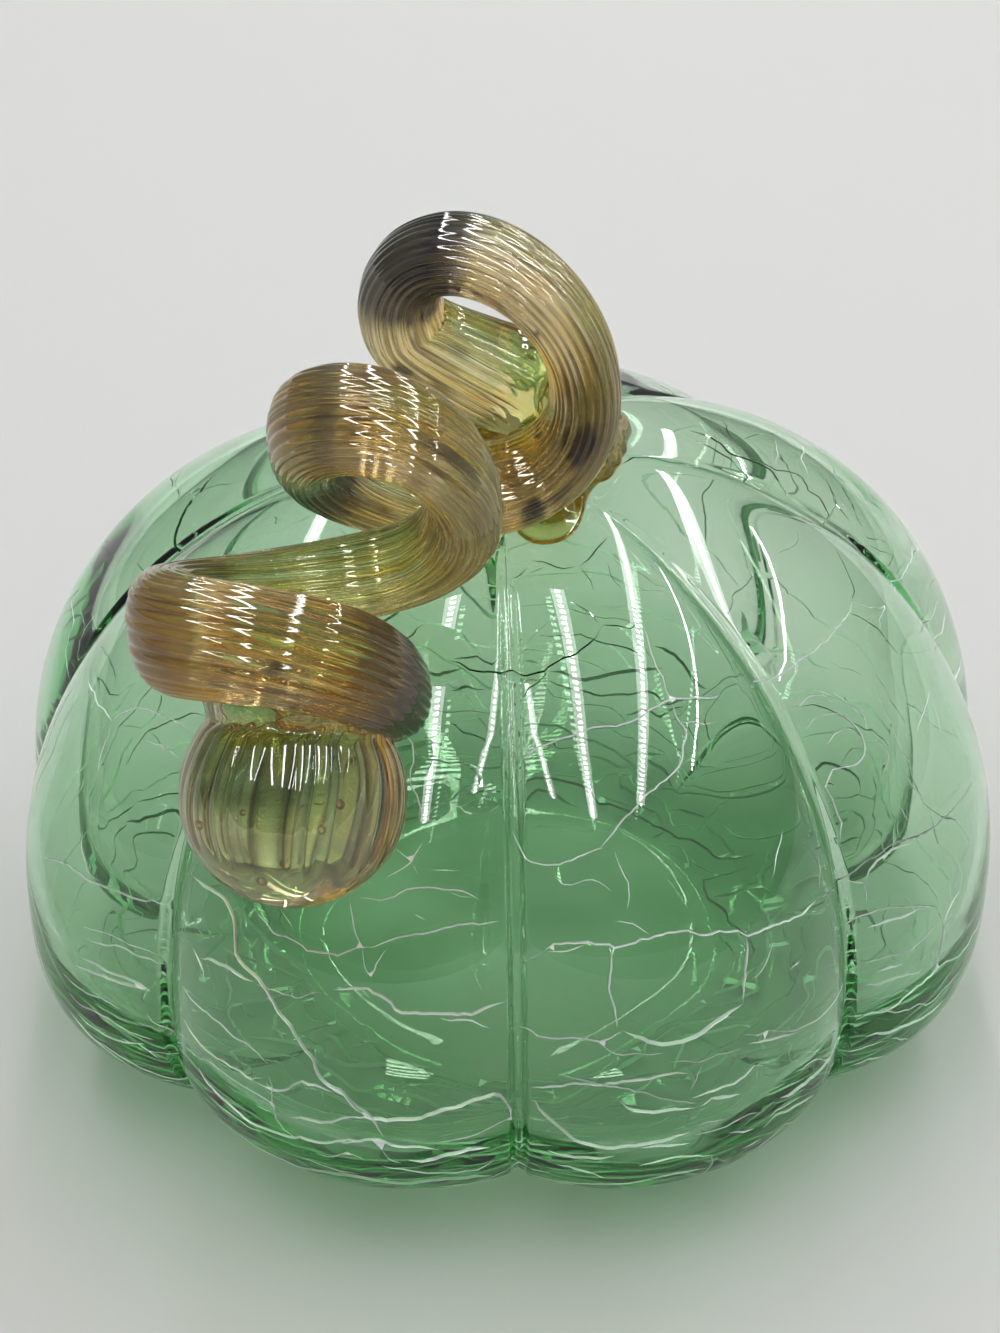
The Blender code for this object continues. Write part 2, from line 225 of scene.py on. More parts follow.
# ---------------------------------------------------------------- crackle
# Main fractures of the side that faces the camera: width class, then the run of
# the fracture as points of the 1000 x 1333 frame, dropped onto the outer wall.
FRONT = (
    (3, (447, 660), (457, 662), (467, 668), (482, 670), (500, 673), (518, 675), (530, 673), (545, 668), (555, 663), (563, 657), (575, 652), (588, 644), (597, 636), (600, 628)),
    (2, (600, 628), (606, 624), (618, 626), (632, 629), (640, 622)),
    (3, (520, 760), (528, 753), (538, 748), (550, 742), (565, 739), (580, 733), (600, 727), (620, 722), (640, 715), (655, 708), (668, 701), (690, 699), (722, 695)),
    (2, (640, 622), (645, 632), (650, 650), (657, 668), (664, 680), (666, 690), (672, 702)),
    (3, (672, 702), (676, 712), (680, 722), (688, 735), (683, 745), (681, 758), (676, 770), (660, 782), (648, 795), (635, 812), (622, 824), (612, 838), (600, 848)),
    (1, (680, 722), (700, 724), (716, 722)),
    (1, (404, 733), (412, 742), (415, 752), (412, 765), (410, 782), (414, 796), (419, 810), (420, 822)),
    (2, (410, 752), (430, 758), (445, 761), (462, 762), (475, 768), (482, 780), (487, 795), (487, 812)),
    (1, (442, 678), (452, 686), (460, 692), (470, 698), (478, 712), (486, 724), (492, 736)),
    (2, (483, 745), (492, 746), (502, 748)),
    (1, (510, 580), (520, 573), (527, 568)),
    (1, (530, 573), (545, 567)),
    (2, (530, 560), (545, 563), (562, 568), (576, 566)),
    (2, (580, 566), (590, 556), (600, 545), (607, 537)),
    (2, (568, 601), (578, 604), (590, 612), (597, 622), (600, 628)),
    (2, (519, 702), (530, 690), (540, 680), (550, 668)),
    (1, (522, 652), (536, 630), (545, 623), (556, 616)),
    (2, (446, 805), (460, 808), (475, 812), (490, 810), (500, 804)),
    (2, (420, 822), (435, 820)),
    (1, (420, 822), (426, 835), (434, 840)),
    (1, (606, 562), (614, 575), (622, 590)),
    (1, (580, 566), (588, 578), (594, 592)),
    (2, (745, 637), (757, 640), (768, 650), (775, 664)),
    (3, (750, 688), (760, 682), (780, 676), (790, 670), (800, 661), (815, 650), (826, 640), (838, 625), (848, 610), (852, 602)),
    (2, (852, 602), (853, 590), (851, 580), (846, 570), (840, 558), (835, 548)),
    (1, (852, 602), (870, 606), (885, 605), (882, 620), (880, 630)),
    (2, (848, 612), (862, 618), (878, 628), (890, 645), (898, 655)),
    (2, (778, 707), (800, 706), (812, 696), (824, 692), (836, 698), (850, 705), (862, 716), (868, 736)),
    (3, (805, 730), (815, 718), (830, 712), (842, 712), (852, 720), (862, 735), (864, 748), (858, 762), (846, 768), (832, 772), (826, 785), (832, 800), (838, 815), (842, 824), (840, 842)),
    (2, (826, 745), (836, 735), (848, 728), (856, 734)),
    (2, (866, 741), (880, 743), (888, 752), (885, 770), (880, 785)),
    (3, (544, 951), (552, 944), (565, 942), (590, 942), (610, 944), (613, 948), (625, 946), (640, 940), (655, 936), (668, 931), (690, 931), (708, 935), (720, 931), (740, 932), (746, 936), (760, 932), (772, 925), (788, 920), (800, 916), (810, 908), (817, 900)),
    (3, (817, 900), (826, 893), (834, 882), (845, 876), (856, 868), (866, 858), (885, 848), (900, 842), (920, 834), (940, 820), (955, 808), (965, 795), (975, 775)),
    (2, (897, 745), (905, 758), (912, 765)),
    (2, (900, 770), (912, 785), (922, 798), (926, 812)),
    (2, (895, 800), (905, 815), (912, 825)),
    (2, (930, 690), (922, 715), (916, 735)),
    (2, (932, 700), (938, 720), (941, 735)),
    (2, (88, 680), (95, 695), (105, 710), (112, 722)),
    (2, (112, 722), (122, 712), (135, 706), (150, 710), (165, 715), (180, 720), (190, 728), (197, 734)),
    (1, (112, 722), (108, 735), (100, 755), (97, 780)),
    (2, (145, 740), (158, 745), (170, 752), (180, 758)),
    (3, (44, 857), (65, 863), (80, 873), (92, 882), (105, 886), (120, 893), (138, 900), (155, 902), (166, 905)),
    (1, (83, 830), (82, 850), (85, 865), (92, 876), (100, 882)),
    (3, (193, 876), (203, 884), (215, 892), (225, 900), (230, 910), (234, 925), (235, 940), (236, 955), (243, 965), (252, 974), (260, 985), (270, 998), (278, 1012), (285, 1022), (294, 1032), (302, 1046), (312, 1060), (318, 1074), (325, 1082), (338, 1090), (348, 1100), (358, 1110), (370, 1116)),
    (2, (82, 926), (98, 932), (118, 940), (135, 947), (150, 951), (160, 956)),
    (2, (85, 938), (105, 944), (120, 946), (135, 955), (150, 960), (167, 964)),
    (3, (78, 956), (95, 964), (105, 972), (122, 977), (140, 984), (152, 992)),
    (3, (75, 965), (92, 972), (108, 979), (125, 985), (150, 992)),
    (3, (62, 972), (72, 982), (82, 990), (98, 998), (112, 1004), (122, 1010)),
    (3, (68, 992), (80, 1004), (92, 1010), (108, 1018), (120, 1026), (135, 1034), (155, 1040)),
    (2, (76, 1012), (90, 1026), (105, 1036), (125, 1042), (145, 1044)),
    (3, (120, 1038), (138, 1044), (150, 1052), (162, 1060)),
    (2, (125, 1070), (140, 1074), (155, 1078), (175, 1082), (185, 1086)),
    (2, (146, 1012), (152, 1022), (166, 1028), (175, 1036), (182, 1044)),
    (2, (40, 900), (46, 915), (55, 930), (62, 940)),
    (3, (182, 985), (190, 998), (200, 1008), (212, 1016), (222, 1024), (232, 1036), (244, 1042), (254, 1050), (262, 1058), (268, 1064)),
    (2, (183, 1018), (190, 1030), (200, 1045), (212, 1055), (225, 1062), (238, 1070), (248, 1077), (265, 1078)),
    (3, (185, 1045), (195, 1056), (210, 1064), (225, 1074), (240, 1084), (255, 1092), (268, 1101), (275, 1105)),
    (2, (268, 1075), (272, 1085), (271, 1095), (273, 1105), (278, 1120), (285, 1130), (296, 1138)),
    (2, (255, 1082), (272, 1090), (285, 1090), (300, 1082), (310, 1086), (322, 1090), (335, 1092)),
    (3, (290, 1117), (305, 1119), (320, 1123), (333, 1122), (345, 1118), (360, 1117)),
    (3, (198, 1066), (205, 1080), (215, 1092), (228, 1104), (240, 1114), (254, 1125), (270, 1130), (285, 1136), (300, 1138), (320, 1143), (345, 1142), (362, 1140)),
    (2, (210, 1096), (222, 1108), (238, 1118), (250, 1126), (262, 1132)),
    (2, (255, 1104), (262, 1108), (272, 1112)),
    (2, (303, 1158), (320, 1164), (340, 1170), (360, 1174)),
    (2, (314, 1153), (330, 1156), (345, 1152), (365, 1160)),
    (2, (192, 946), (198, 958), (203, 970), (205, 985)),
    (2, (200, 958), (214, 962), (226, 968), (240, 976), (255, 982)),
    (3, (256, 912), (266, 922), (275, 934), (290, 938), (300, 944), (308, 952), (330, 953), (333, 956), (345, 952), (358, 947), (370, 947)),
    (2, (281, 910), (288, 920), (293, 930)),
    (1, (255, 984), (270, 988), (285, 994), (300, 998), (310, 994), (320, 992)),
    (3, (333, 990), (350, 990), (368, 989), (380, 996), (390, 1004), (398, 1011), (410, 1014), (430, 1015), (450, 1015), (472, 1013), (488, 1006), (505, 1002)),
    (2, (438, 1017), (450, 1022), (465, 1022), (480, 1026), (490, 1028)),
    (3, (368, 948), (385, 945), (395, 940), (405, 936), (420, 934), (440, 930), (455, 928), (475, 926), (490, 923), (499, 921)),
    (2, (362, 948), (365, 965), (370, 978), (378, 958), (388, 948)),
    (2, (350, 902), (352, 920), (357, 938), (362, 948)),
    (2, (360, 898), (380, 899), (395, 897), (405, 890), (418, 888), (438, 888), (460, 893), (480, 900)),
    (2, (385, 878), (400, 870), (412, 862), (418, 852), (423, 842)),
    (1, (412, 862), (418, 875)),
    (2, (395, 848), (405, 856), (412, 862)),
    (3, (414, 914), (426, 920)),
    (1, (430, 870), (445, 869), (460, 870)),
    (1, (448, 892), (462, 895), (475, 897)),
    (3, (352, 1117), (375, 1121), (395, 1122), (420, 1119), (440, 1112), (460, 1106), (478, 1099), (494, 1096), (500, 1097), (506, 1104), (512, 1120)),
    (2, (340, 1143), (360, 1142), (375, 1140), (395, 1146), (420, 1148), (440, 1150)),
    (2, (438, 1142), (455, 1140), (475, 1136), (490, 1128), (505, 1120), (512, 1118)),
    (3, (408, 1160), (425, 1163), (440, 1158), (455, 1154), (475, 1150), (490, 1147)),
    (2, (380, 1165), (400, 1170), (430, 1173), (460, 1172), (480, 1168), (495, 1160)),
    (2, (350, 1098), (358, 1108), (368, 1116), (376, 1126), (384, 1138)),
    (2, (382, 1150), (390, 1160), (402, 1163)),
    (2, (512, 830), (518, 845), (527, 862), (540, 864), (560, 864), (575, 859), (590, 852), (604, 848)),
    (2, (553, 871), (558, 880), (568, 884), (580, 882), (592, 880), (603, 884), (612, 892)),
    (2, (614, 850), (620, 865), (627, 880), (630, 895), (627, 910)),
    (2, (520, 960), (532, 957), (544, 951)),
    (2, (548, 952), (562, 951), (575, 949), (586, 944)),
    (2, (613, 922), (624, 921), (635, 926), (650, 934)),
    (2, (613, 948), (612, 965), (608, 980), (610, 995), (615, 1010), (617, 1028)),
    (3, (518, 1026), (530, 1031), (538, 1036), (560, 1038), (585, 1038), (600, 1041), (612, 1038), (623, 1031)),
    (3, (623, 1031), (638, 1038), (650, 1043), (665, 1047), (680, 1043), (700, 1034), (712, 1026), (725, 1018), (735, 1010), (743, 1004)),
    (2, (600, 1041), (608, 1050), (620, 1054), (640, 1052), (665, 1053)),
    (3, (530, 1087), (550, 1085), (570, 1084), (590, 1085), (615, 1084), (635, 1080), (655, 1078), (675, 1074), (690, 1074)),
    (3, (560, 1074), (580, 1080), (600, 1085), (620, 1088), (640, 1092), (660, 1097), (680, 1100), (698, 1103)),
    (3, (533, 1098), (540, 1108), (550, 1120), (562, 1132), (578, 1144), (600, 1147), (620, 1148), (640, 1144), (665, 1140), (690, 1132)),
    (2, (618, 1100), (630, 1110), (645, 1114), (660, 1112), (675, 1110), (695, 1108)),
    (3, (695, 1135), (720, 1128), (740, 1118), (760, 1112)),
    (3, (697, 1126), (712, 1120), (725, 1119)),
    (3, (700, 1107), (712, 1100), (725, 1096), (742, 1094)),
    (2, (547, 1150), (560, 1156), (580, 1160), (600, 1160), (615, 1156)),
    (2, (555, 1164), (570, 1168), (585, 1172), (605, 1178)),
    (2, (638, 1166), (655, 1162), (675, 1158), (695, 1156), (715, 1155)),
    (2, (640, 1148), (665, 1146), (690, 1143)),
    (2, (728, 1133), (745, 1132), (755, 1128)),
    (2, (740, 1150), (752, 1144), (762, 1138)),
    (3, (742, 1035), (756, 1036), (770, 1030), (790, 1031), (805, 1026), (820, 1018), (832, 1004), (842, 988), (848, 970)),
    (2, (748, 1044), (765, 1040), (780, 1036), (798, 1032)),
    (2, (750, 980), (758, 976), (765, 965), (770, 950), (776, 938)),
    (2, (746, 936), (747, 955), (745, 975), (743, 985), (743, 1004)),
    (2, (783, 828), (780, 845), (776, 860), (772, 878)),
    (2, (818, 850), (820, 870), (819, 890)),
    (2, (788, 972), (795, 964), (802, 960)),
    (3, (780, 1098), (795, 1092), (808, 1082), (820, 1072), (830, 1058), (838, 1040), (843, 1030)),
    (3, (768, 1118), (780, 1108), (795, 1100), (802, 1096)),
    (2, (763, 1128), (775, 1116), (790, 1110), (800, 1102), (815, 1094)),
    (2, (795, 1072), (805, 1068), (815, 1060), (830, 1058)),
    (2, (668, 1062), (685, 1062), (700, 1062), (715, 1058), (730, 1053), (742, 1048)),
    (2, (690, 1098), (705, 1095), (720, 1090), (735, 1085), (745, 1078), (755, 1066), (765, 1066)),
    (1, (703, 1064), (697, 1078), (690, 1090)),
    (2, (844, 926), (855, 918), (868, 914), (885, 908), (905, 905), (925, 904), (938, 908)),
    (3, (867, 928), (885, 922), (905, 914), (922, 908)),
    (3, (862, 964), (880, 960), (900, 954), (915, 947), (928, 935), (938, 922)),
    (2, (875, 972), (890, 968), (905, 963)),
    (3, (864, 986), (885, 982), (905, 977), (922, 971)),
    (2, (855, 1020), (870, 1014), (890, 1010), (905, 998), (920, 985), (935, 970), (941, 950), (944, 925), (952, 905), (960, 890)),
    (2, (880, 1010), (895, 1014), (910, 1010), (918, 1003), (928, 1004), (938, 995), (948, 985), (960, 970)),
    (3, (865, 1037), (885, 1034), (905, 1027), (920, 1020), (935, 1010), (945, 998)),
    (2, (890, 1038), (910, 1038), (925, 1030), (940, 1015)),
    (3, (850, 1066), (868, 1060), (885, 1056), (905, 1048)),
    (2, (855, 1073), (872, 1068), (890, 1060)),
    (2, (865, 882), (870, 870), (880, 860), (895, 850), (912, 843)),
    (2, (845, 880), (865, 883), (867, 895), (866, 905)),
    (3, (688, 430), (705, 435), (720, 442), (730, 452), (745, 458), (760, 464), (770, 470), (778, 480), (785, 497)),
    (2, (695, 440), (710, 448), (722, 455), (735, 465), (748, 478), (762, 495)),
    (2, (745, 458), (762, 462), (775, 470), (790, 472), (800, 475), (808, 490), (820, 500), (828, 515), (832, 530)),
    (2, (802, 445), (802, 460), (808, 475)),
    (3, (830, 462), (836, 478), (846, 495), (855, 510), (862, 528)),
    (2, (826, 478), (834, 500), (845, 515), (850, 522)),
    (2, (830, 530), (845, 540), (858, 546)),
    (2, (868, 545), (880, 552), (892, 556)),
    (2, (912, 545), (908, 565), (900, 580), (893, 592)),
    (2, (938, 600), (930, 620), (925, 630)),
    (2, (945, 610), (942, 635), (940, 652)),
    (2, (722, 420), (728, 430), (732, 442)),
    (2, (775, 440), (776, 455), (774, 465)),
    (1, (740, 440), (760, 435), (778, 432)),
    (1, (780, 430), (800, 442), (815, 455)),
    (1, (72, 600), (75, 620), (66, 650), (70, 680)),
    (1, (80, 640), (88, 625), (95, 615)),
)
CRACK_WIDTH = {1: 0.24, 2: 0.30, 3: 0.38}
CRACK_DEPTH = {1: 0.38, 2: 0.54, 3: 0.74}


def drop_on_wall(wall):
    """A function that takes a point of the frame to (U, V) on the outer wall, or None."""
    us = np.linspace(U_MIN, U_MAX, 721)
    vs = np.linspace(0.0, wall.length, 121)
    uu, vv = np.meshgrid(us, vs)
    pts = wall.point(uu, vv).reshape(-1, 3)
    n = len(us)
    tris = []
    for j in range(len(vs) - 1):
        for i in range(n - 1):
            a = j * n + i
            tris.append((a, a + n, a + n + 1))
            tris.append((a, a + n + 1, a + 1))
    tree = BVHTree.FromPolygons([tuple(p) for p in pts], tris)
    uv = np.stack([uu, vv], -1).reshape(-1, 2)
    right, up, fwd = camera_axes()
    eye = CAM_POS / MM

    def drop(x, y):
        d = (fwd + right * ((x - CENTRE[0]) / CAM_F) - up * ((y - CENTRE[1]) / CAM_F)).normalized()
        hit, _, index, _ = tree.ray_cast(eye, d)
        if hit is None:
            return None
        a, b, c = tris[index]
        pa, pb, pc = pts[a], pts[b], pts[c]
        m = np.stack([pb - pa, pc - pa], -1)
        w = np.linalg.lstsq(m, np.array(hit) - pa, rcond=None)[0]
        return uv[a] + (uv[b] - uv[a]) * w[0] + (uv[c] - uv[a]) * w[1]

    return drop


def resample(wall, path, step, rough, rnd):
    """Even steps along a run in (U, V), with the small zigzag of a fracture."""
    p = np.array(path, float)
    k = wall.radius(0.5 * (p[1:, 1] + p[:-1, 1])) / BODY_R
    seg = np.hypot((p[1:, 0] - p[:-1, 0]) * k, p[1:, 1] - p[:-1, 1])
    run = np.concatenate([[0.0], np.cumsum(seg)])
    count = max(2, int(round(run[-1] / step)))
    s = np.linspace(0.0, run[-1], count + 1)
    q = np.stack([np.interp(s, run, p[:, 0]), np.interp(s, run, p[:, 1])], -1)
    if count > 2:
        k = wall.radius(q[:, 1]) / BODY_R
        t = np.gradient(q, axis=0)
        t[:, 0] *= k
        t /= np.maximum(np.linalg.norm(t, axis=1, keepdims=True), 1e-9)
        off, kick = np.zeros(count + 1), 0.0
        for i in range(1, count):
            kick = 0.72 * kick + rnd.gauss(0.0, rough)
            off[i] = kick
        fade = np.minimum(1.0, np.minimum(np.arange(count + 1), np.arange(count, -1, -1)) / 2.0)
        q[:, 0] += -t[:, 1] * off * fade / k
        q[:, 1] += t[:, 0] * off * fade
    return q, run[-1]


def make_cracks(wall):
    rnd = random.Random(77)
    drop = drop_on_wall(wall)
    cracks = []
    cloud = []
    v_lo, v_hi = 16.0, wall.length - 2.5
    margin = 4.0

    def inside(u, v):
        return v_lo < v < v_hi and U_MIN + margin < u < U_MAX - margin

    def add(q, width, depth, slant):
        q = np.array([p for p in q if inside(p[0], p[1])])
        if len(q) < 3:
            return
        line = wall.point(q[:, 0], q[:, 1])
        # low down the breaks are frosted; towards the crown they stay clear
        frost = rnd.random() < np.clip((116.0 - line[:, 2].mean()) / 28.0, 0.12, 1.0)
        if not frost:
            width, depth = 0.85 * width, 0.55 * depth
        elif line[:, 2].mean() > 72.0:
            width, depth = 0.78 * width, 0.62 * depth
        cracks.append({"q": q, "width": width, "depth": depth, "slant": slant, "frost": frost})
        cloud.extend(line)

    for row in FRONT:
        kind = row[0]
        run, last = [], None
        for x, y in row[1:]:
            p = drop(x, y)
            if p is None or (last is not None and np.linalg.norm(p - last) > 40.0):
                continue
            run.append(p)
            last = p
        if len(run) < 2:
            continue
        q, length = resample(wall, run, 1.25, 0.16, rnd)
        add(q, CRACK_WIDTH[kind] * rnd.uniform(0.85, 1.2), CRACK_DEPTH[kind] * rnd.uniform(0.85, 1.2),
            rnd.choice((-1, 1)) * rnd.uniform(0.1, 0.55))

    def tree():
        kd = KDTree(len(cloud))
        for i, c in enumerate(cloud):
            kd.insert(c, i)
        kd.balance()
        return kd

    def spacing(u, v, front):
        az = math.degrees(u / BODY_R)
        z = float(wall.point(u, v)[2])
        if z < 40.0:
            s = 2.2 + 4.4 * (z / 40.0)
        elif z < 75.0:
            s = 8.0 + 8.0 * (z - 40.0) / 35.0
        else:
            s = (36.0 if z > 92.0 else 25.0) if front else (20.0 if z > 95.0 else 16.0)
        if 85.0 < az < 185.0 and z > 60.0:
            s *= 0.62
        return s * (1.2 if front and z > 28.0 else 1.0)

    kd = tree()
    misses = 0
    while misses < 260 and len(cracks) < 900:
        v = v_lo + (v_hi - v_lo) * rnd.random()
        u = U_MIN + (U_MAX - U_MIN) * rnd.random()
        if rnd.random() > float(wall.radius(v)) / BODY_R or not inside(u, v):
            continue
        az = math.degrees(u / BODY_R)
        p0 = wall.point(u, v)
        front = -75.0 < az < 85.0
        if kd.find(p0)[2] < spacing(u, v, front):
            misses += 1
            continue
        misses = 0
        low = p0[2] < 62.0
        level = rnd.random() < (0.86 if low else 0.45)
        lean = rnd.gauss(0.0, 0.22) if level else rnd.uniform(0.5, 2.6)
        halves = []
        for way in (0.0, math.pi):
            heading, cu, cv = lean + way, u, v
            want = lean + way
            half = []
            for _ in range(int(rnd.lognormvariate(2.7 if low else 2.5, 0.6)) + 4):
                heading += rnd.gauss(0.0, 0.20) + 0.16 * (want - heading)
                if rnd.random() < 0.05:
                    heading += rnd.gauss(0.0, 0.8)
                k = float(wall.radius(cv)) / BODY_R
                cu += 1.3 * math.cos(heading) / k
                cv += 1.3 * math.sin(heading)
                if not inside(cu, cv):
                    break
                co, index, dist = kd.find(wall.point(cu, cv))
                half.append((cu, cv))
                if dist < 1.0:
                    break
            halves.append(half)
        q = np.array(halves[1][::-1] + [(u, v)] + halves[0])
        if len(q) < 5:
            misses += 1
            continue
        faint = front and p0[2] > 20.0 and rnd.random() < 0.75
        add(q, rnd.uniform(0.22, 0.28) if faint else rnd.uniform(0.26, 0.38),
            rnd.uniform(0.4, 0.65) if faint else rnd.uniform(0.5, 1.1),
            rnd.choice((-1, 1)) * rnd.uniform(0.1, 0.6))
        kd = tree()
    return cracks


# ---------------------------------------------------------------- meshes
def add_mesh(name, verts, faces, material, smooth=True):
    mesh = bpy.data.meshes.new(name)
    mesh.from_pydata([tuple(v) for v in np.asarray(verts) * MM], [], faces)
    mesh.materials.append(material)
    if smooth:
        mesh.shade_smooth()
    mesh.update()
    ob = bpy.data.objects.new(name, mesh)
    bpy.context.scene.collection.objects.link(ob)
    return ob


def lobe_shares(count):
    k = np.arange(count) / count
    f = 0.5 - 0.5 * np.cos(np.pi * k)
    return 0.45 * f + 0.55 * k


def row_of_u(count):
    """U of one row of points, count to each lobe, closer together beside the grooves."""
    out = []
    for g0, g1 in zip(GROOVES, GROOVES[1:]):
        out.extend(g0 + (g1 - g0) * lobe_shares(count))
    return np.radians(np.array(out)) * BODY_R


RING = 16      # points to a lobe on the rings where the walls meet


def make_body(material, fracture):
    outer, inner = Wall(False), Wall(True)
    cracks = make_cracks(outer)

    # points of the unrolled outer wall
    pts, edges = [], []
    rows = 92
    groove_cols = [[] for _ in range(9)]
    for j in range(rows + 1):
        v = outer.length * j / rows
        count = RING if j in (0, rows) else int(np.clip(round(2 * math.pi * float(outer.radius(v)) / 8 / 2.3), 6, 40))
        u = np.append(row_of_u(count), U_MAX)
        for i, x in enumerate(u):
            if i % count == 0:
                groove_cols[i // count].append(len(pts))
            pts.append((float(x), v))
        if 0 < j < rows:
            beside = np.array((0.45, 0.8, 1.15, 1.5, 1.85, 2.4)) * BODY_R / max(float(outer.radius(v)), 20.0)
            for g in np.radians(GROOVES) * BODY_R:
                for x in np.concatenate([g - beside, g + beside]):
                    if U_MIN < x < U_MAX:
                        pts.append((float(x), v))
    for col in groove_cols:
        edges += list(zip(col, col[1:]))
    for j in (0, rows):
        u = np.append(row_of_u(RING), U_MAX)
        start = 0 if j == 0 else groove_cols[0][-1]
        edges += [(start + i, start + i + 1) for i in range(len(u) - 1)]
    for c in cracks:
        q = c["q"]
        n = len(q)
        k = outer.radius(q[:, 1]) / BODY_R
        t = np.gradient(q, axis=0)
        t[:, 0] *= k
        t /= np.maximum(np.linalg.norm(t, axis=1, keepdims=True), 1e-9)
        ends = np.minimum(np.arange(n), np.arange(n - 1, -1, -1))
        c["half"] = 0.5 * c["width"] * np.clip(0.25 + 0.25 * ends, 0.0, 1.0)
        c["deep"] = c["depth"] * np.clip(0.34 * ends, 0.0, 1.0)
        c["side"] = np.stack([-t[:, 1], t[:, 0]], -1)
        off = c["side"] * c["half"][:, None]
        off[:, 0] /= k
        mid = []
        for p in q:
            mid.append(len(pts))
            pts.append((float(p[0]), float(p[1])))
        left, right = [mid[0]], [mid[0]]
        for i in range(1, n - 1):
            left.append(len(pts))
            pts.append((float(q[i, 0] + off[i, 0]), float(q[i, 1] + off[i, 1])))
            right.append(len(pts))
            pts.append((float(q[i, 0] - off[i, 0]), float(q[i, 1] - off[i, 1])))
        left.append(mid[-1])
        right.append(mid[-1])
        for line in (mid, left, right):
            edges += list(zip(line, line[1:]))
    out = delaunay_2d_cdt([Vector(p) for p in pts], edges, [], 0, 1e-4, False)
    uv = np.array([tuple(v) for v in out[0]])
    tris = np.array([f for f in out[2] if len(f) == 3])

    # depth of the fractures at each point
    base, du, dv, nrm = outer.frame(uv[:, 0], uv[:, 1])
    seg_a, seg_b, half, deep, side, slant, frost = [], [], [], [], [], [], []
    for c in cracks:
        q = c["q"]
        for i in range(len(q) - 1):
            seg_a.append(q[i])
            seg_b.append(q[i + 1])
            half.append((c["half"][i], c["half"][i + 1]))
            deep.append((c["deep"][i], c["deep"][i + 1]))
            side.append(c["side"][i])
            slant.append(c["slant"])
            frost.append(c["frost"])
    seg_a, seg_b, half, deep, side, slant = map(np.array, (seg_a, seg_b, half, deep, side, slant))
    mids = outer.point(0.5 * (seg_a[:, 0] + seg_b[:, 0]), 0.5 * (seg_a[:, 1] + seg_b[:, 1]))
    kd = KDTree(len(mids))
    for i, m in enumerate(mids):
        kd.insert(m, i)
    kd.balance()
    depth = np.zeros(len(uv))
    foot = np.zeros(len(uv), bool)
    frosted = np.zeros(len(uv), bool)
    shift = np.zeros((len(uv), 2))
    scale = outer.radius(uv[:, 1]) / BODY_R
    for i in range(len(uv)):
        if kd.find(base[i])[2] > 1.6:
            continue
        for _, s, _ in kd.find_n(base[i], 5):
            a = (seg_a[s] - uv[i]) * (scale[i], 1.0)
            b = (seg_b[s] - uv[i]) * (scale[i], 1.0)
            ab = b - a
            f = min(1.0, max(0.0, -float(a @ ab) / max(float(ab @ ab), 1e-12)))
            gap = float(np.linalg.norm(a + ab * f))
            h = half[s][0] + (half[s][1] - half[s][0]) * f
            if gap > 1.04 * h + 0.004:
                continue
            foot[i] = True
            frosted[i] |= frost[s]
            if gap >= 0.97 * h:
                continue
            d = (deep[s][0] + (deep[s][1] - deep[s][0]) * f) * (1.0 - gap / h)
            if d > depth[i]:
                depth[i] = d
                shift[i] = side[s] * (slant[s] * d)
    co = base - nrm * depth[:, None] + du * shift[:, :1] + dv * shift[:, 1:]

    # close the seam of the unrolled wall
    join = np.arange(len(uv))
    at_min = {round(v * 20): i for i, (u, v) in enumerate(uv) if abs(u - U_MIN) < 1e-3}
    for i, (u, v) in enumerate(uv):
        if abs(u - U_MAX) < 1e-3:
            join[i] = at_min[round(v * 20)]
    tris = join[tris][:, ::-1]

    verts = [co]
    faces = [tuple(int(x) for x in f) for f in tris]
    smooth_normal = [nrm]
    count = len(co)

    # inner wall
    u = row_of_u(RING)
    m = len(u)
    rows_in = 84
    ring_ids = []
    for j in range(rows_in + 1):
        v = np.full(m, inner.length * j / rows_in)
        p, _, _, n = inner.frame(u, v)
        verts.append(p)
        smooth_normal.append(-n)
        ring_ids.append(np.arange(count, count + m))
        count += m
    flat = []
    for a, b in zip(ring_ids, ring_ids[1:]):
        for i in range(m):
            k = (i + 1) % m
            faces.append((int(a[i]), int(a[k]), int(b[k]), int(b[i])))
    ends = {}
    for i, (x, v) in enumerate(uv):
        if v < 0.01 or v > outer.length - 0.01:
            ends[(round(x * 20), v > 1.0)] = join[i]
    top = [int(ends[(round(x * 20), False)]) for x in u]
    low = [int(ends[(round(x * 20), True)]) for x in u]
    smooth_faces = len(faces)
    for i in range(m):
        k = (i + 1) % m
        faces.append((top[i], top[k], int(ring_ids[0][k]), int(ring_ids[0][i])))
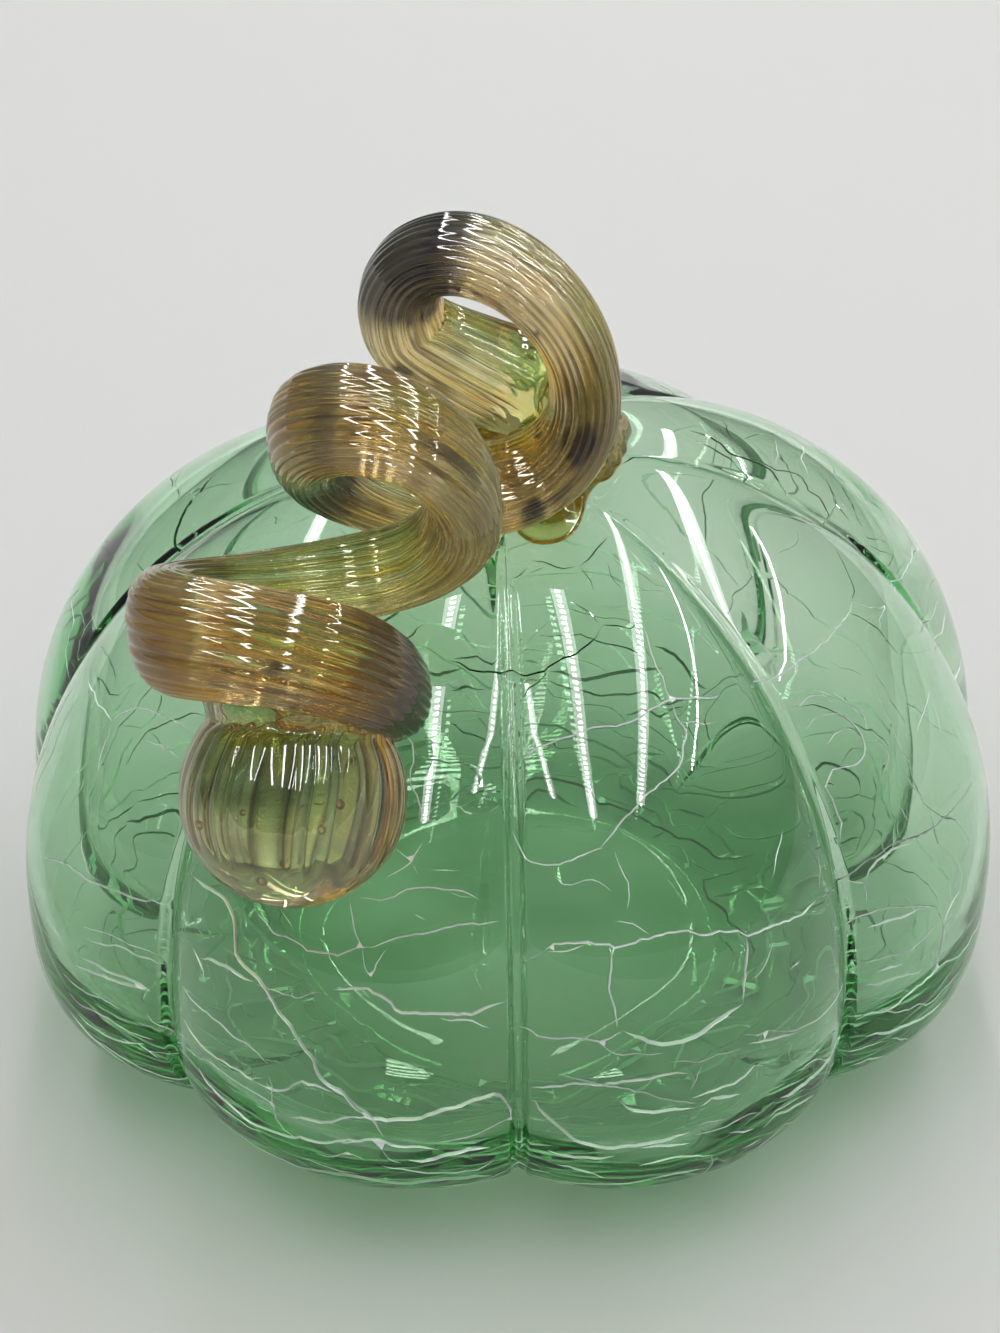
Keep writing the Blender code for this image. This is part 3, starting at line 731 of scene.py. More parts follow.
    # standing face and inner floor, as rings that close on a centre point
    for ring, z, flip in ((low, 0.0, False), ([int(x) for x in ring_ids[-1]], BASE_WALL, True)):
        allv = np.concatenate(verts)
        rim = allv[ring]
        last = ring
        for share in (0.8, 0.55, 0.28):
            p = rim * (share, share, 1.0)
            p[:, 2] = z
            verts.append(p)
            smooth_normal.append(np.tile((0.0, 0.0, 1.0 if flip else -1.0), (m, 1)))
            new = list(range(count, count + m))
            count += m
            for i in range(m):
                k = (i + 1) % m
                f = (last[i], last[k], new[k], new[i])
                faces.append(f if flip else f[::-1])
            last = new
        verts.append(np.array([[0.0, 0.0, z]]))
        smooth_normal.append(np.array([[0.0, 0.0, 1.0 if flip else -1.0]]))
        for i in range(m):
            f = (last[i], last[(i + 1) % m], count)
            faces.append(f if flip else f[::-1])
        count += 1
    verts = np.concatenate(verts)
    smooth_normal = np.concatenate(smooth_normal)
    ob = add_mesh("pumpkin_body_glass", verts, faces, material)
    mesh = ob.data
    mesh.materials.append(fracture)
    deep_at = np.zeros(len(verts))
    deep_at[:len(depth)] = np.where(foot, depth, 0.0)
    foot_at = np.zeros(len(verts), bool)
    foot_at[:len(foot)] = foot & frosted
    loops = np.zeros(len(mesh.loops), np.int32)
    mesh.loops.foreach_get("vertex_index", loops)
    normals = smooth_normal[loops]
    pn = np.zeros(len(mesh.polygons) * 3, np.float32)
    mesh.polygons.foreach_get("normal", pn)
    pn = pn.reshape(-1, 3)
    for i, poly in enumerate(mesh.polygons):
        s, e = poly.loop_start, poly.loop_start + poly.loop_total
        if i >= smooth_faces or (i < len(tris) and deep_at[loops[s:e]].max() > 0.01):
            normals[s:e] = pn[i]
            if i < len(tris) and foot_at[loops[s:e]].all():
                poly.material_index = 1
    mesh.normals_split_custom_set([tuple(x) for x in normals])
    print("body", len(cracks), "fractures", len(verts), "points", sum(len(f) - 2 for f in faces), "triangles")
    return ob


# ---------------------------------------------------------------- stem
COIL_AXIS = np.array((
    (14.0, 1.0, 109.0), (-3.0, -12.5, 109.8), (-1.5, -28.5, 103.5), (-21.8, -49.0, 103.0),
    (-26.0, -67.5, 98.2), (-38.0, -76.5, 86.5), (-37.0, -83.0, 76.0)))
COIL_START, COIL_END = -90.0, 990.0
COIL_RADIUS = ((-90, 14.0), (0, 22.0), (180, 17.0), (360, 21.5), (540, 18.0), (720, 24.0), (900, 19.5), (990, 8.0))
COIL_SQUASH = ((0, 0.88), (270, 0.81), (540, 0.91), (810, 0.79))
COIL_TILT = ((-90, -10.0), (180, 0.0), (450, 26.0), (720, 56.0), (990, 56.0))
COIL_SWING = ((-90, 6.0), (180, 0.0), (450, -6.0), (720, -12.0), (990, 12.0))
CANE_TAPER = ((830, 1.0), (950, 0.66), (990, 0.52))
CANE_WIDE, CANE_THIN = 9.8, 6.5
TRUNK_START, TRUNK_R = np.array((10.0, 0.5, 133.0)), 9.6
TRUNK_LEAN = np.array((-0.78, -0.12, 0.61)) / np.linalg.norm((-0.78, -0.12, 0.61))
KNOB_CENTRE, KNOB_R = np.array((-36.0, -88.5, 107.2)), 19.2
FOOT_CENTRE, FOOT_R = (8.5, -1.5), 18.0
FOOT_DRIPS = ((38.0, 0.36, 22.0), (-92.0, 1.12, 21.0), (96.0, 0.32, 26.0), (176.0, 0.42, 28.0))


def table(rows, x):
    xs = np.array([r[0] for r in rows], float)
    ys = np.array([r[1] for r in rows], float)
    i = np.clip(np.searchsorted(xs, x, side="right") - 1, 0, len(xs) - 2)
    f = np.clip((x - xs[i]) / (xs[i + 1] - xs[i]), 0.0, 1.0)
    f = f * f * (3.0 - 2.0 * f)
    return ys[i] + (ys[i + 1] - ys[i]) * f


def catmull(points, x):
    n = len(points)
    i = min(max(int(math.floor(x)), 0), n - 2)
    f = x - i
    p1, p2 = points[i], points[i + 1]
    p0 = points[i - 1] if i > 0 else 2 * p1 - p2
    p3 = points[i + 2] if i + 2 < n else 2 * p2 - p1
    return 0.5 * ((2 * p1) + (p2 - p0) * f + (2 * p0 - 5 * p1 + 4 * p2 - p3) * f * f
                  + (3 * p1 - p0 - 3 * p2 + p3) * f ** 3)


def coil_frame(turn):
    c = catmull(COIL_AXIS, (turn - COIL_START) / 180.0) + (0.0, 0.0, BODY_LOWER)
    tilt = math.radians(float(table(COIL_TILT, turn)))
    swing = math.radians(float(table(COIL_SWING, turn)))
    axis = np.array((-math.sin(swing) * math.cos(tilt), -math.cos(swing) * math.cos(tilt), -math.sin(tilt)))
    right = np.array((math.cos(swing), -math.sin(swing), 0.0))
    return c, axis, right, np.cross(axis, right)


def coil_point(turn):
    c, axis, right, up = coil_frame(turn)
    r = float(table(COIL_RADIUS, turn))
    e = float(table(COIL_SQUASH, turn))
    a = math.radians(turn)
    return c - right * (r * math.cos(a)) + up * (r * e * math.sin(a))


def stem_path():
    """Stations of the cane: centre, wide direction, half width, half thickness, turn angle."""
    out = []
    start, lean = TRUNK_START, TRUNK_LEAN
    join = coil_point(0.0)
    lead = coil_point(1.0) - coil_point(-1.0)
    lead /= np.linalg.norm(lead)
    axis = coil_frame(0.0)[1]
    for angle in (86.0, 66.0, 46.0, 24.0):
        q = math.radians(angle)
        r = TRUNK_R * math.cos(q)
        out.append((start - lean * (3.0 + 5.0 * math.sin(q)), axis, r, r, -90.0))
    for i in range(3):
        out.append((start - lean * (3.0 - i), axis, TRUNK_R, TRUNK_R, -90.0))
    for i in range(26):
        f = i / 26.0
        p = ((2 * f ** 3 - 3 * f ** 2 + 1) * start + (f ** 3 - 2 * f ** 2 + f) * lean * 26.0
             + (-2 * f ** 3 + 3 * f ** 2) * join + (f ** 3 - f ** 2) * lead * 22.0)
        out.append((p, axis, TRUNK_R + (CANE_WIDE - TRUNK_R) * f, TRUNK_R - 1.7 * f, -90.0 + 90.0 * f))
    steps = 300
    for i in range(steps + 1):
        turn = COIL_END * i / steps
        wide = float(table(CANE_TAPER, turn)) * float(table(CANE_SLIM, turn)) * CANE_WIDE
        thin = CANE_THIN + float(table(((0, TRUNK_R - 1.7 - CANE_THIN), (60, 0.0)), turn))
        wide *= math.sqrt(max(0.02, min(1.0, (COIL_END + 1.5 - turn) / 22.0)))
        out.append((coil_point(turn), coil_frame(turn)[1], wide, min(thin, wide), turn))
    return out


RIBS, RIB_POINTS = 32, 6
RIB_HEIGHT = 0.44
SMOOTH_RUN = 17.0       # smooth part of the cane where it leaves the foot
CANE_SLIM = ((500, 1.0), (585, 0.74), (655, 0.74), (735, 1.0))


def streaks(gen, count, length, step):
    """Smooth random values along each of a number of ribs, as a function (rib, run)."""
    knots = int(length / step) + 3
    values = gen.uniform(0.0, 1.0, (count, knots))

    def at(rib, run):
        x = np.clip(run / step, 0.0, knots - 1.001)
        i = x.astype(int)
        f = x - i
        f = f * f * (3.0 - 2.0 * f)
        return values[rib, i] * (1 - f) + values[rib, i + 1] * f

    return at


def blend(colour, other, amount):
    return colour + (np.asarray(other) - colour) * np.clip(amount, 0.0, 1.0)[..., None]


CLEAR, GOLD, BROWN_AND_VALLEY_SHADE = (1.0, 0.96, 0.82), (1.0, 0.80, 0.30), (0.05, 0.025, 0.01)
PAINTED_AMBER_GLOW = (1.0, 0.58, 0.07)
SMOKE, OLIVE, INK = (0.025, 0.022, 0.035), (0.80, 0.82, 0.36), (0.02, 0.015, 0.02)
# smoky lengths of the cane: turn angle, half length in degrees, strength
SMOKY = ((46, 32, 1.4), (205, 22, 0.45), (362, 25, 1.25), (545, 40, 0.35), (700, 20, 0.55), (894, 32, 1.2))
# tints along the cane: turn angle, half length in degrees, colour, strength
ZONES = ((118, 34, (1.0, 0.90, 0.64), 0.6), (232, 50, (0.60, 0.50, 0.24), 0.45), (432, 40, (1.0, 0.66, 0.18), 0.6),
         (590, 70, (0.82, 0.78, 0.44), 0.35), (722, 18, (1.0, 0.78, 0.22), 0.7), (792, 34, (0.95, 0.66, 0.24), 0.5),
         (845, 12, (1.0, 0.70, 0.10), 0.8))
# painted amber glints, standing in for bright spots of light in the cane: turn, angle round the cane, half length and
# half width (degrees)
PAINTED_GLOW_SPOTS = ((418, 10.0, 16.0, 32.0), (452, 40.0, 12.0, 26.0), (775, 330.0, 14.0, 34.0), (842, 325.0, 16.0, 36.0), (160, 60.0, 26.0, 24.0))
# dark specks of scale in the cane: turn, angle round the cane, radius (mm)
SPECKS = ((-12, 332, 2.4), (214, 5, 3.9), (258, 0, 2.8), (137, 28, 1.0), (232, 80, 1.1), (400, 15, 0.9), (812, 350, 0.9), (760, 20, 0.8))


def make_coil(material):
    path = stem_path()
    n = len(path)
    centre = np.array([p[0] for p in path])
    along = np.gradient(centre, axis=0)
    along /= np.linalg.norm(along, axis=1, keepdims=True)
    run = np.concatenate([[0.0], np.cumsum(np.linalg.norm(np.diff(centre, axis=0), axis=1))])
    turns = np.array([p[4] for p in path])
    sides = RIBS * RIB_POINTS
    gen = np.random.default_rng(9)
    width = gen.uniform(0.5, 1.6, RIBS)
    edge = np.concatenate([[0.0], np.cumsum(width)]) / width.sum()
    rib = np.repeat(np.arange(RIBS), RIB_POINTS)
    part = np.tile(np.arange(RIB_POINTS) / RIB_POINTS, RIBS)
    b = 2 * np.pi * (edge[rib] + (edge[rib + 1] - edge[rib]) * part)
    size = streaks(gen, RIBS, run[-1], 14.0)
    brown = streaks(gen, RIBS, run[-1], 11.0)
    smoke = streaks(gen, RIBS, run[-1], 9.0)
    gold = streaks(gen, RIBS, run[-1], 16.0)
    heavy = gen.random(RIBS) < 0.40
    sharp, force = np.where(heavy, 1.15, 3.0)[rib], np.where(heavy, 1.0, 0.6)[rib]
    verts, tint = [], []
    for i, (p, axis, wide, thin, turn) in enumerate(path):
        t = along[i]
        w = axis - t * float(axis @ t)
        w /= np.linalg.norm(w)
        m = np.cross(t, w)
        s = np.full(sides, run[i])
        a = b + 0.012 * run[i] + 0.10 * math.sin(run[i] / 23.0)
        start = min(1.0, max(0.0, (run[i] - SMOOTH_RUN) / 3.0))
        ridge = np.sin(np.pi * part) ** 0.75 - 0.55
        lip = 0.55 * math.exp(-((run[i] - SMOOTH_RUN - 0.8) / 1.0) ** 2)
        swell = RIB_HEIGHT * (0.35 + 1.1 * size(rib, s)) * ridge * start * min(1.0, wide / 8.0) + lip
        swell = swell + (1.0 - start) * (0.22 * np.sin(3 * b + run[i] / 1.7) + 0.16 * np.sin(8 * b - run[i] / 1.1))
        c, d = np.cos(a), np.sin(a)
        q = (np.abs(c) ** 2.3 + np.abs(d) ** 2.3) ** (-1 / 2.3)
        slow = 1.0 + 0.03 * math.sin(run[i] / 21.0 + 1.0) + 0.02 * math.sin(run[i] / 9.0)
        x, y = wide * slow * c * q, thin * slow * d * q
        ln = np.hypot(x, y)
        x, y = x * (1 + swell / ln), y * (1 + swell / ln)
        verts.append(p + np.outer(x, w) + np.outer(y, m))
        # colour of the glass at this station
        col = np.tile(np.array(CLEAR), (sides, 1))
        col = blend(col, GOLD, 1.6 * gold(rib, s) - 0.2)
        valley_shade_mask = 1.0 - np.sin(np.pi * part)
        for at, half, colour, k in ZONES:
            col = blend(col, colour, start * k * math.exp(-((turn - at) / half) ** 2) * (0.5 + gold(rib, s)))
        # dark brown streaks along some ribs are the glass's own colour; the dark lines laid into the rib valleys are
        # painted shade
        line = force * valley_shade_mask ** sharp * np.clip(1.8 * smoke(rib, s) - 0.1, 0.0, 1.0)
        col = blend(col, BROWN_AND_VALLEY_SHADE, start * np.maximum(5.5 * (brown(rib, s) - 0.80), 0.95 * line))
        # painted highlight: amber-orange painted along the inner side of the coil, where light shows orange-gold
        inner = (np.degrees(a) - 88.0 + 180.0) % 360.0 - 180.0
        col = blend(col, PAINTED_AMBER_GLOW, start * 0.9 * np.exp(-(inner / 28.0) ** 2) * (0.3 + gold(rib, s)))
        # painted amber glints at the listed spots
        for at, angle, long, round_ in PAINTED_GLOW_SPOTS:
            off = (np.degrees(a) - angle + 180.0) % 360.0 - 180.0
            col = blend(col, PAINTED_AMBER_GLOW, 1.6 * math.exp(-((turn - at) / long) ** 2) * np.exp(-(off / round_) ** 2) * (0.4 + size(rib, s)))
        # smoky bands are the glass's own colour; their extra weight on the coil's outer side is painted shade
        cloud = sum(k * math.exp(-((turn - at) / half) ** 4) for at, half, k in SMOKY)
        outer = 0.5 - 0.5 * np.cos(np.radians(inner))
        col = blend(col, SMOKE, start * cloud * (0.75 + 0.35 * outer) * (0.80 + 0.4 * smoke(rib, s)))
        fresh = min(1.0, max(0.0, (SMOOTH_RUN + 4.0 - run[i]) / 6.0))
        col = blend(col, OLIVE, np.full(sides, fresh))
        for at, angle, radius in SPECKS:
            if abs(turn - at) > 25:
                continue
            k = int(np.argmin(np.abs(turns - at)))
            off = (np.degrees(a) - angle + 180.0) % 360.0 - 180.0
            dist = np.hypot(run[i] - run[k], np.radians(off) * 8.0)
            dist += 0.35 * radius * (smoke(rib, s * 2.0 % run[-1]) - 0.5) * 2.0
            col = blend(col, INK, (radius - dist) / (0.3 * radius))
        tint.append(col)
    v = np.concatenate(verts)
    faces = []
    for i in range(n - 1):
        for k in range(sides):
            l = (k + 1) % sides
            faces.append((i * sides + k, i * sides + l, (i + 1) * sides + l, (i + 1) * sides + k))
    faces.append(tuple(range(sides))[::-1])
    faces.append(tuple(range((n - 1) * sides, n * sides)))
    ob = add_mesh("stem_coil_glass", v, faces, material)
    paint(ob, np.concatenate(tint))
    return ob


def paint(ob, tint):
    att = ob.data.attributes.new("tint", "FLOAT_COLOR", "POINT")
    rgba = np.concatenate([np.asarray(tint), np.ones((len(tint), 1))], 1)
    att.data.foreach_set("color", rgba.astype(np.float32).ravel())


KNOB_AXIS = np.array((0.08, 0.50, 0.86)) / np.linalg.norm((0.08, 0.50, 0.86))
# height above the ball's centre and radius of the neck that joins it to the coil
NECK = np.array(((11.2, 15.6), (12.0, 15.1), (13.2, 15.1), (15.5, 15.6), (18.0, 14.8), (20.5, 11.6), (21.8, 6.8), (22.2, 1.5)))
# small bubbles in the ball: direction seen from its centre, share of the radius, radius (mm)
BUBBLES = (((-0.76, -0.55, 0.10), 0.93, 0.75), ((-0.86, -0.40, -0.20), 0.93, 1.0), ((-0.25, -0.90, -0.30), 0.90, 0.8),
           ((0.30, -0.85, 0.25), 0.92, 0.7), ((0.48, -0.72, 0.42), 0.92, 0.8), ((0.52, -0.72, -0.50), 0.92, 0.8),
           ((-0.05, -0.97, -0.05), 0.90, 0.6), ((-0.40, -0.80, 0.40), 0.90, 0.5))
KNOB_RIBS = 26


def knob_frame():
    side = np.cross((0.0, 1.0, 0.0), KNOB_AXIS)
    side /= np.linalg.norm(side)
    return side, np.cross(KNOB_AXIS, side)


def lathe_faces(rows, cols):
    """Faces of a turned, closed skin of rows of points, with a cap at each end."""
    faces = []
    for j in range(rows - 1):
        for k in range(cols):
            l = (k + 1) % cols
            faces.append((j * cols + k, j * cols + l, (j + 1) * cols + l, (j + 1) * cols + k))
    faces.append(tuple(range(cols))[::-1])
    faces.append(tuple(range((rows - 1) * cols, rows * cols)))
    return faces


def make_knob(material):
    """The ball: clear glass with streaky columns round it, and its folded neck."""
    side, ahead = knob_frame()
    ribs, per = KNOB_RIBS, 8
    cols = ribs * per
    gen = np.random.default_rng(14)
    width = gen.uniform(0.65, 1.35, ribs)
    edge = np.concatenate([[0.0], np.cumsum(width)]) / width.sum()
    rib = np.repeat(np.arange(ribs), per)
    part = np.tile(np.arange(per) / per, ribs)
    a0 = 2 * np.pi * (edge[rib] + (edge[rib + 1] - edge[rib]) * part)
    grey, brown = streaks(gen, ribs, 80.0, 13.0), streaks(gen, ribs, 80.0, 10.0)
    end, tawny, dark = gen.uniform(0.0, 1.0, ribs), gen.random(ribs) < 0.3, gen.random(ribs) < 0.5
    rows = []
    low = math.pi - 0.03
    high = math.acos(NECK[0, 0] / KNOB_R)
    for j in range(90):
        lat = low + (high - low) * j / 89.0
        rows.append((KNOB_R * math.cos(lat), KNOB_R * math.sin(lat)))
    for i in range(len(NECK) - 1):
        for j in range(1, 9):
            rows.append(tuple(catmull(NECK, i + j / 8.0)))
    verts, tint = [], []
    run = 0.0
    for j, (h, r0) in enumerate(rows):
        if j:
            run += math.hypot(h - rows[j - 1][0], r0 - rows[j - 1][1])
        s = np.full(cols, run)
        up = max(0.0, (h - 10.4) / 8.0)
        a = a0 + 0.9 * up ** 1.3 + 0.03 * math.sin(run / 5.0)
        column = np.clip((h + 12.5 - 3.0 * end[rib]) / 2.0, 0.0, 1.0) * min(1.0, max(0.0, (14.0 - h) / 4.0))
        bump = (np.sin(np.pi * part) ** 0.8 - 0.6) * (0.5 + grey(rib, s))
        wave = 0.10 * np.sin(3 * a0 + run / 9.0) + 0.08 * np.sin(5 * a0 - run / 6.0) + 0.30 * bump * column
        fold = 0.55 * np.sin(2 * a + 0.6) + 0.75 * np.sin(7 * a - 1.0) + 0.40 * np.sin(15 * a + 0.4)
        r = r0 + (wave + fold * min(1.0, up * 1.2)) * min(1.0, r0 / 9.0)
        verts.append(KNOB_CENTRE + np.outer(r * np.cos(a), side) + np.outer(r * np.sin(a), ahead) + h * KNOB_AXIS)
        valley_shade_mask = 1.0 - np.sin(np.pi * part)
        col = np.tile(np.array((1.0, 0.96, 0.70)), (cols, 1))
        col = blend(col, (0.76, 0.62, 0.54), column * np.clip(1.7 * grey(rib, s) - 0.2, 0.0, 1.0))
        col = blend(col, (0.90, 0.46, 0.10), column * np.where(tawny[rib], 1.5 * brown(rib, s), 0.0))
        # dark brown streaks down some columns are the glass's own colour; the dark lines laid into the rib valleys are
        # painted shade
        col = blend(col, (0.08, 0.035, 0.015), column * np.maximum(4.0 * (brown(rib, s) - 0.76), valley_shade_mask ** np.where(dark[rib], 0.9, 1.6) * np.where(dark[rib], 1.0, 0.3)))
        col = blend(col, (0.62, 0.66, 0.42), min(1.0, 2.5 * up) * (0.6 + 0.4 * np.sin(3 * a + 1.0)))
        # amber swirl where the neck folds onto the ball, and beside it painted shade: one flank of the ball painted
        # dark brown
        west = (np.degrees(a0) + 118.0 + 180.0) % 360.0 - 180.0
        col = blend(col, (0.95, 0.50, 0.12), 1.1 * math.exp(-((h - 11.0) / 2.8) ** 2) * np.exp(-(west / 30.0) ** 2))
        painted_shade_side = (np.degrees(a0) + 22.0 + 180.0) % 360.0 - 180.0
        col = blend(col, (0.24, 0.10, 0.04), 0.9 * math.exp(-((h - 1.0) / 7.0) ** 4) * np.exp(-(painted_shade_side / 9.0) ** 2))
        tint.append(col)
    v = np.concatenate(verts)
    faces = lathe_faces(len(rows), cols)
    # bubbles: small closed hollows, facing into themselves
    more, count = [v], len(v)
    for direction, share, radius in BUBBLES:
        d = np.array(direction) / np.linalg.norm(direction)
        c = KNOB_CENTRE + d * (KNOB_R * share - radius)
        lat, lon = 9, 12
        ids = {}
        for j in range(lat + 1):
            for k in range(lon if 0 < j < lat else 1):
                th, ph = math.pi * j / lat, 2 * math.pi * k / lon
                ids[(j, k)] = count
                more.append(c[None] + radius * np.array([[math.sin(th) * math.cos(ph), math.sin(th) * math.sin(ph), 1.15 * math.cos(th)]]))
                count += 1
        for k in range(lon):
            l = (k + 1) % lon
            faces.append((ids[(0, 0)], ids[(1, l)], ids[(1, k)]))
            faces.append((ids[(lat, 0)], ids[(lat - 1, k)], ids[(lat - 1, l)]))
            for j in range(1, lat - 1):
                faces.append((ids[(j, k)], ids[(j, l)], ids[(j + 1, l)], ids[(j + 1, k)]))
    v = np.concatenate(more)
    ob = add_mesh("stem_knob_glass", v, faces, material)
    tint = np.concatenate(tint)
    paint(ob, np.concatenate([tint, np.tile((0.9, 0.85, 0.7), (len(v) - len(tint), 1))]))
    return ob


def drip(a):
    extra = np.zeros_like(a)
    for direction, reach, width in FOOT_DRIPS:
        off = (np.degrees(a) - direction + 180.0) % 360.0 - 180.0
        extra += reach * np.exp(-(off / width) ** 2)
    return extra


def make_foot(material):
    """Skirt that follows the crown, rising into the leaning trunk; closed below just above the body."""
    outer = Wall(False)

    def crown(x, y):
        """Height of the body's outside over (x, y)."""
        az = np.degrees(np.arctan2(x, -y))
        az = np.where(az < -131.0, az + 360.0, az)
        r = np.hypot(x, y)
        lo, hi = np.zeros_like(r), np.full_like(r, 120.0)
        for _ in range(40):
            mid = 0.5 * (lo + hi)
            p = outer.point(np.radians(az) * BODY_R, mid)
            far = np.hypot(p[:, 0], p[:, 1]) < r
            lo, hi = np.where(far, mid, lo), np.where(far, hi, mid)
        return outer.point(np.radians(az) * BODY_R, 0.5 * (lo + hi))[:, 2]

    sides = 120
    a = 2 * np.pi * np.arange(sides) / sides
    rings = []
    reach = 14.5 * (1.0 + drip(a)) * (1.0 + 0.012 * np.sin(9 * a + 1.0) + 0.01 * np.sin(17 * a))

    def ring(share, rise):
        x, y = FOOT_CENTRE[0] + reach * share * np.cos(a), FOOT_CENTRE[1] + reach * share * np.sin(a)
        return np.stack([x, y, crown(x, y) + rise], -1)

    # underside, from the middle outwards, then the rounded rim
    for share in (0.45, 0.75, 0.94):
        rings.append(ring(share, 0.35))
    full = np.clip((1.55 - reach / 14.5) / 0.25, 0.0, 1.0)
    rim = 0.25 + 0.75 * full
    for share, rise in ((0.985, 0.55), (1.0, 0.9), (0.99, 1.5)):
        rings.append(ring(share, 0.35 + (rise - 0.35) * rim))
    # dome, thin over the drips and full near the trunk
    for i in range(1, 24):
        share = 0.99 * (1.0 - (i / 24.0)) ** 1.1
        round_part = (1.0 - (share / 0.995) ** 2.4) ** 0.62
        thin_part = (1.0 - min(1.0, share * 1.0) ** 3.0) ** 0.9
        high = 9.5 * (round_part * full + (1.0 - full) * (0.04 * round_part + 0.96 * max(0.0, thin_part) ** 4.0))
        ripple_ = 0.45 * np.sin(7 * a + 9.0 * share) * np.sin(14.0 * share + 2.0) + 0.25 * np.sin(13 * a - 16.0 * share)
        rings.append(ring(share, 0.35 + 1.15 * rim + high + ripple_ * full * min(1.0, 4.0 * share) * min(1.0, 3.0 * (1.0 - share))))
    v = np.concatenate(rings)
    faces = []
    for j in range(len(rings) - 1):
        for k in range(sides):
            l = (k + 1) % sides
            faces.append((j * sides + k, j * sides + l, (j + 1) * sides + l, (j + 1) * sides + k))
    faces.append(tuple(range(sides))[::-1])
    faces.append(tuple(range((len(rings) - 1) * sides, len(rings) * sides)))
    return add_mesh("stem_foot_glass", v, faces, material)


# ---------------------------------------------------------------- materials
def node(tree, kind, **values):
    n = tree.nodes.new(kind)
    for key, value in values.items():
        setattr(n, key, value)
    return n


def glass_material(name, roughness, absorb, density, shadow):
    """Clear glass with coloured absorption; lamps shine through it with the tint `shadow`."""
    mat = bpy.data.materials.new(name)
    mat.use_nodes = True
    tree = mat.node_tree
    bsdf = tree.nodes["Principled BSDF"]
    out = tree.nodes["Material Output"]
    bsdf.inputs["Transmission Weight"].default_value = 1.0
    bsdf.inputs["IOR"].default_value = 1.5
    bsdf.inputs["Roughness"].default_value = roughness
    path = node(tree, "ShaderNodeLightPath")
    clear = node(tree, "ShaderNodeBsdfTransparent")
    clear.inputs["Color"].default_value = (*shadow, 1.0)
    mix = node(tree, "ShaderNodeMixShader")
    tree.links.new(path.outputs["Is Shadow Ray"], mix.inputs[0])
    tree.links.new(bsdf.outputs[0], mix.inputs[1])
    tree.links.new(clear.outputs[0], mix.inputs[2])
    tree.links.new(mix.outputs[0], out.inputs["Surface"])
    vol = node(tree, "ShaderNodeVolumeAbsorption")
    vol.inputs["Color"].default_value = (*absorb, 1.0)
    vol.inputs["Density"].default_value = density
    tree.links.new(vol.outputs[0], out.inputs["Volume"])
    return mat, tree, bsdf


def ramp(tree, stops):
    r = node(tree, "ShaderNodeValToRGB")
    els = r.color_ramp.elements
    while len(els) < len(stops):
        els.new(0.5)
    for el, (pos, col) in zip(els, stops):
        el.position = pos
        el.color = (*col, 1.0)
    return r


def green_glass():
    mat, tree, bsdf = glass_material("green_crackle_glass", 0.0, (0.48, 0.86, 0.56), 78.0, (0.84, 0.885, 0.84))
    geo = node(tree, "ShaderNodeTexCoord")
    noise = node(tree, "ShaderNodeTexNoise")
    noise.inputs["Scale"].default_value = 11.0
    noise.inputs["Detail"].default_value = 2.0
    noise.inputs["Distortion"].default_value = 0.6
    r = ramp(tree, ((0.30, (0.75, 0.87, 0.74)), (0.52, (0.90, 0.96, 0.89)), (0.72, (0.985, 0.995, 0.97))))
    tree.links.new(geo.outputs["Object"], noise.inputs["Vector"])
    tree.links.new(noise.outputs["Fac"], r.inputs[0])
    # the glass is thicker towards the base; the tint is also painted darker, deeper green towards the base, a painted
    # shade for a darker lower half
    split = node(tree, "ShaderNodeSeparateXYZ")
    high = node(tree, "ShaderNodeMapRange")
    high.inputs["From Min"].default_value = 0.0
    high.inputs["From Max"].default_value = 0.10
    deep = ramp(tree, ((0.04, (0.80, 0.90, 0.82)), (0.20, (0.88, 0.94, 0.89)), (0.42, (0.98, 0.99, 0.98)), (0.80, (1.0, 1.0, 1.0))))
    tone_times_painted_shade = node(tree, "ShaderNodeMix", data_type="RGBA", blend_type="MULTIPLY")
    tone_times_painted_shade.inputs["Factor"].default_value = 1.0
    tree.links.new(geo.outputs["Object"], split.inputs[0])
    tree.links.new(split.outputs["Z"], high.inputs["Value"])
    tree.links.new(high.outputs[0], deep.inputs[0])
    tree.links.new(r.outputs[0], tone_times_painted_shade.inputs["A"])
    tree.links.new(deep.outputs[0], tone_times_painted_shade.inputs["B"])
    tree.links.new(tone_times_painted_shade.outputs["Result"], bsdf.inputs["Base Color"])
    return mat


def fracture_glass():
    """Faces of the fractures: a finer, slightly frosted break that catches the light."""
    mat, tree, bsdf = glass_material("fracture_glass", 0.24, (0.48, 0.86, 0.56), 78.0, (0.84, 0.885, 0.84))
    bsdf.inputs["Base Color"].default_value = (0.96, 1.0, 0.97, 1.0)
    bsdf.inputs["Transmission Weight"].default_value = 0.06
    bsdf.inputs["IOR"].default_value = 2.0
    return mat


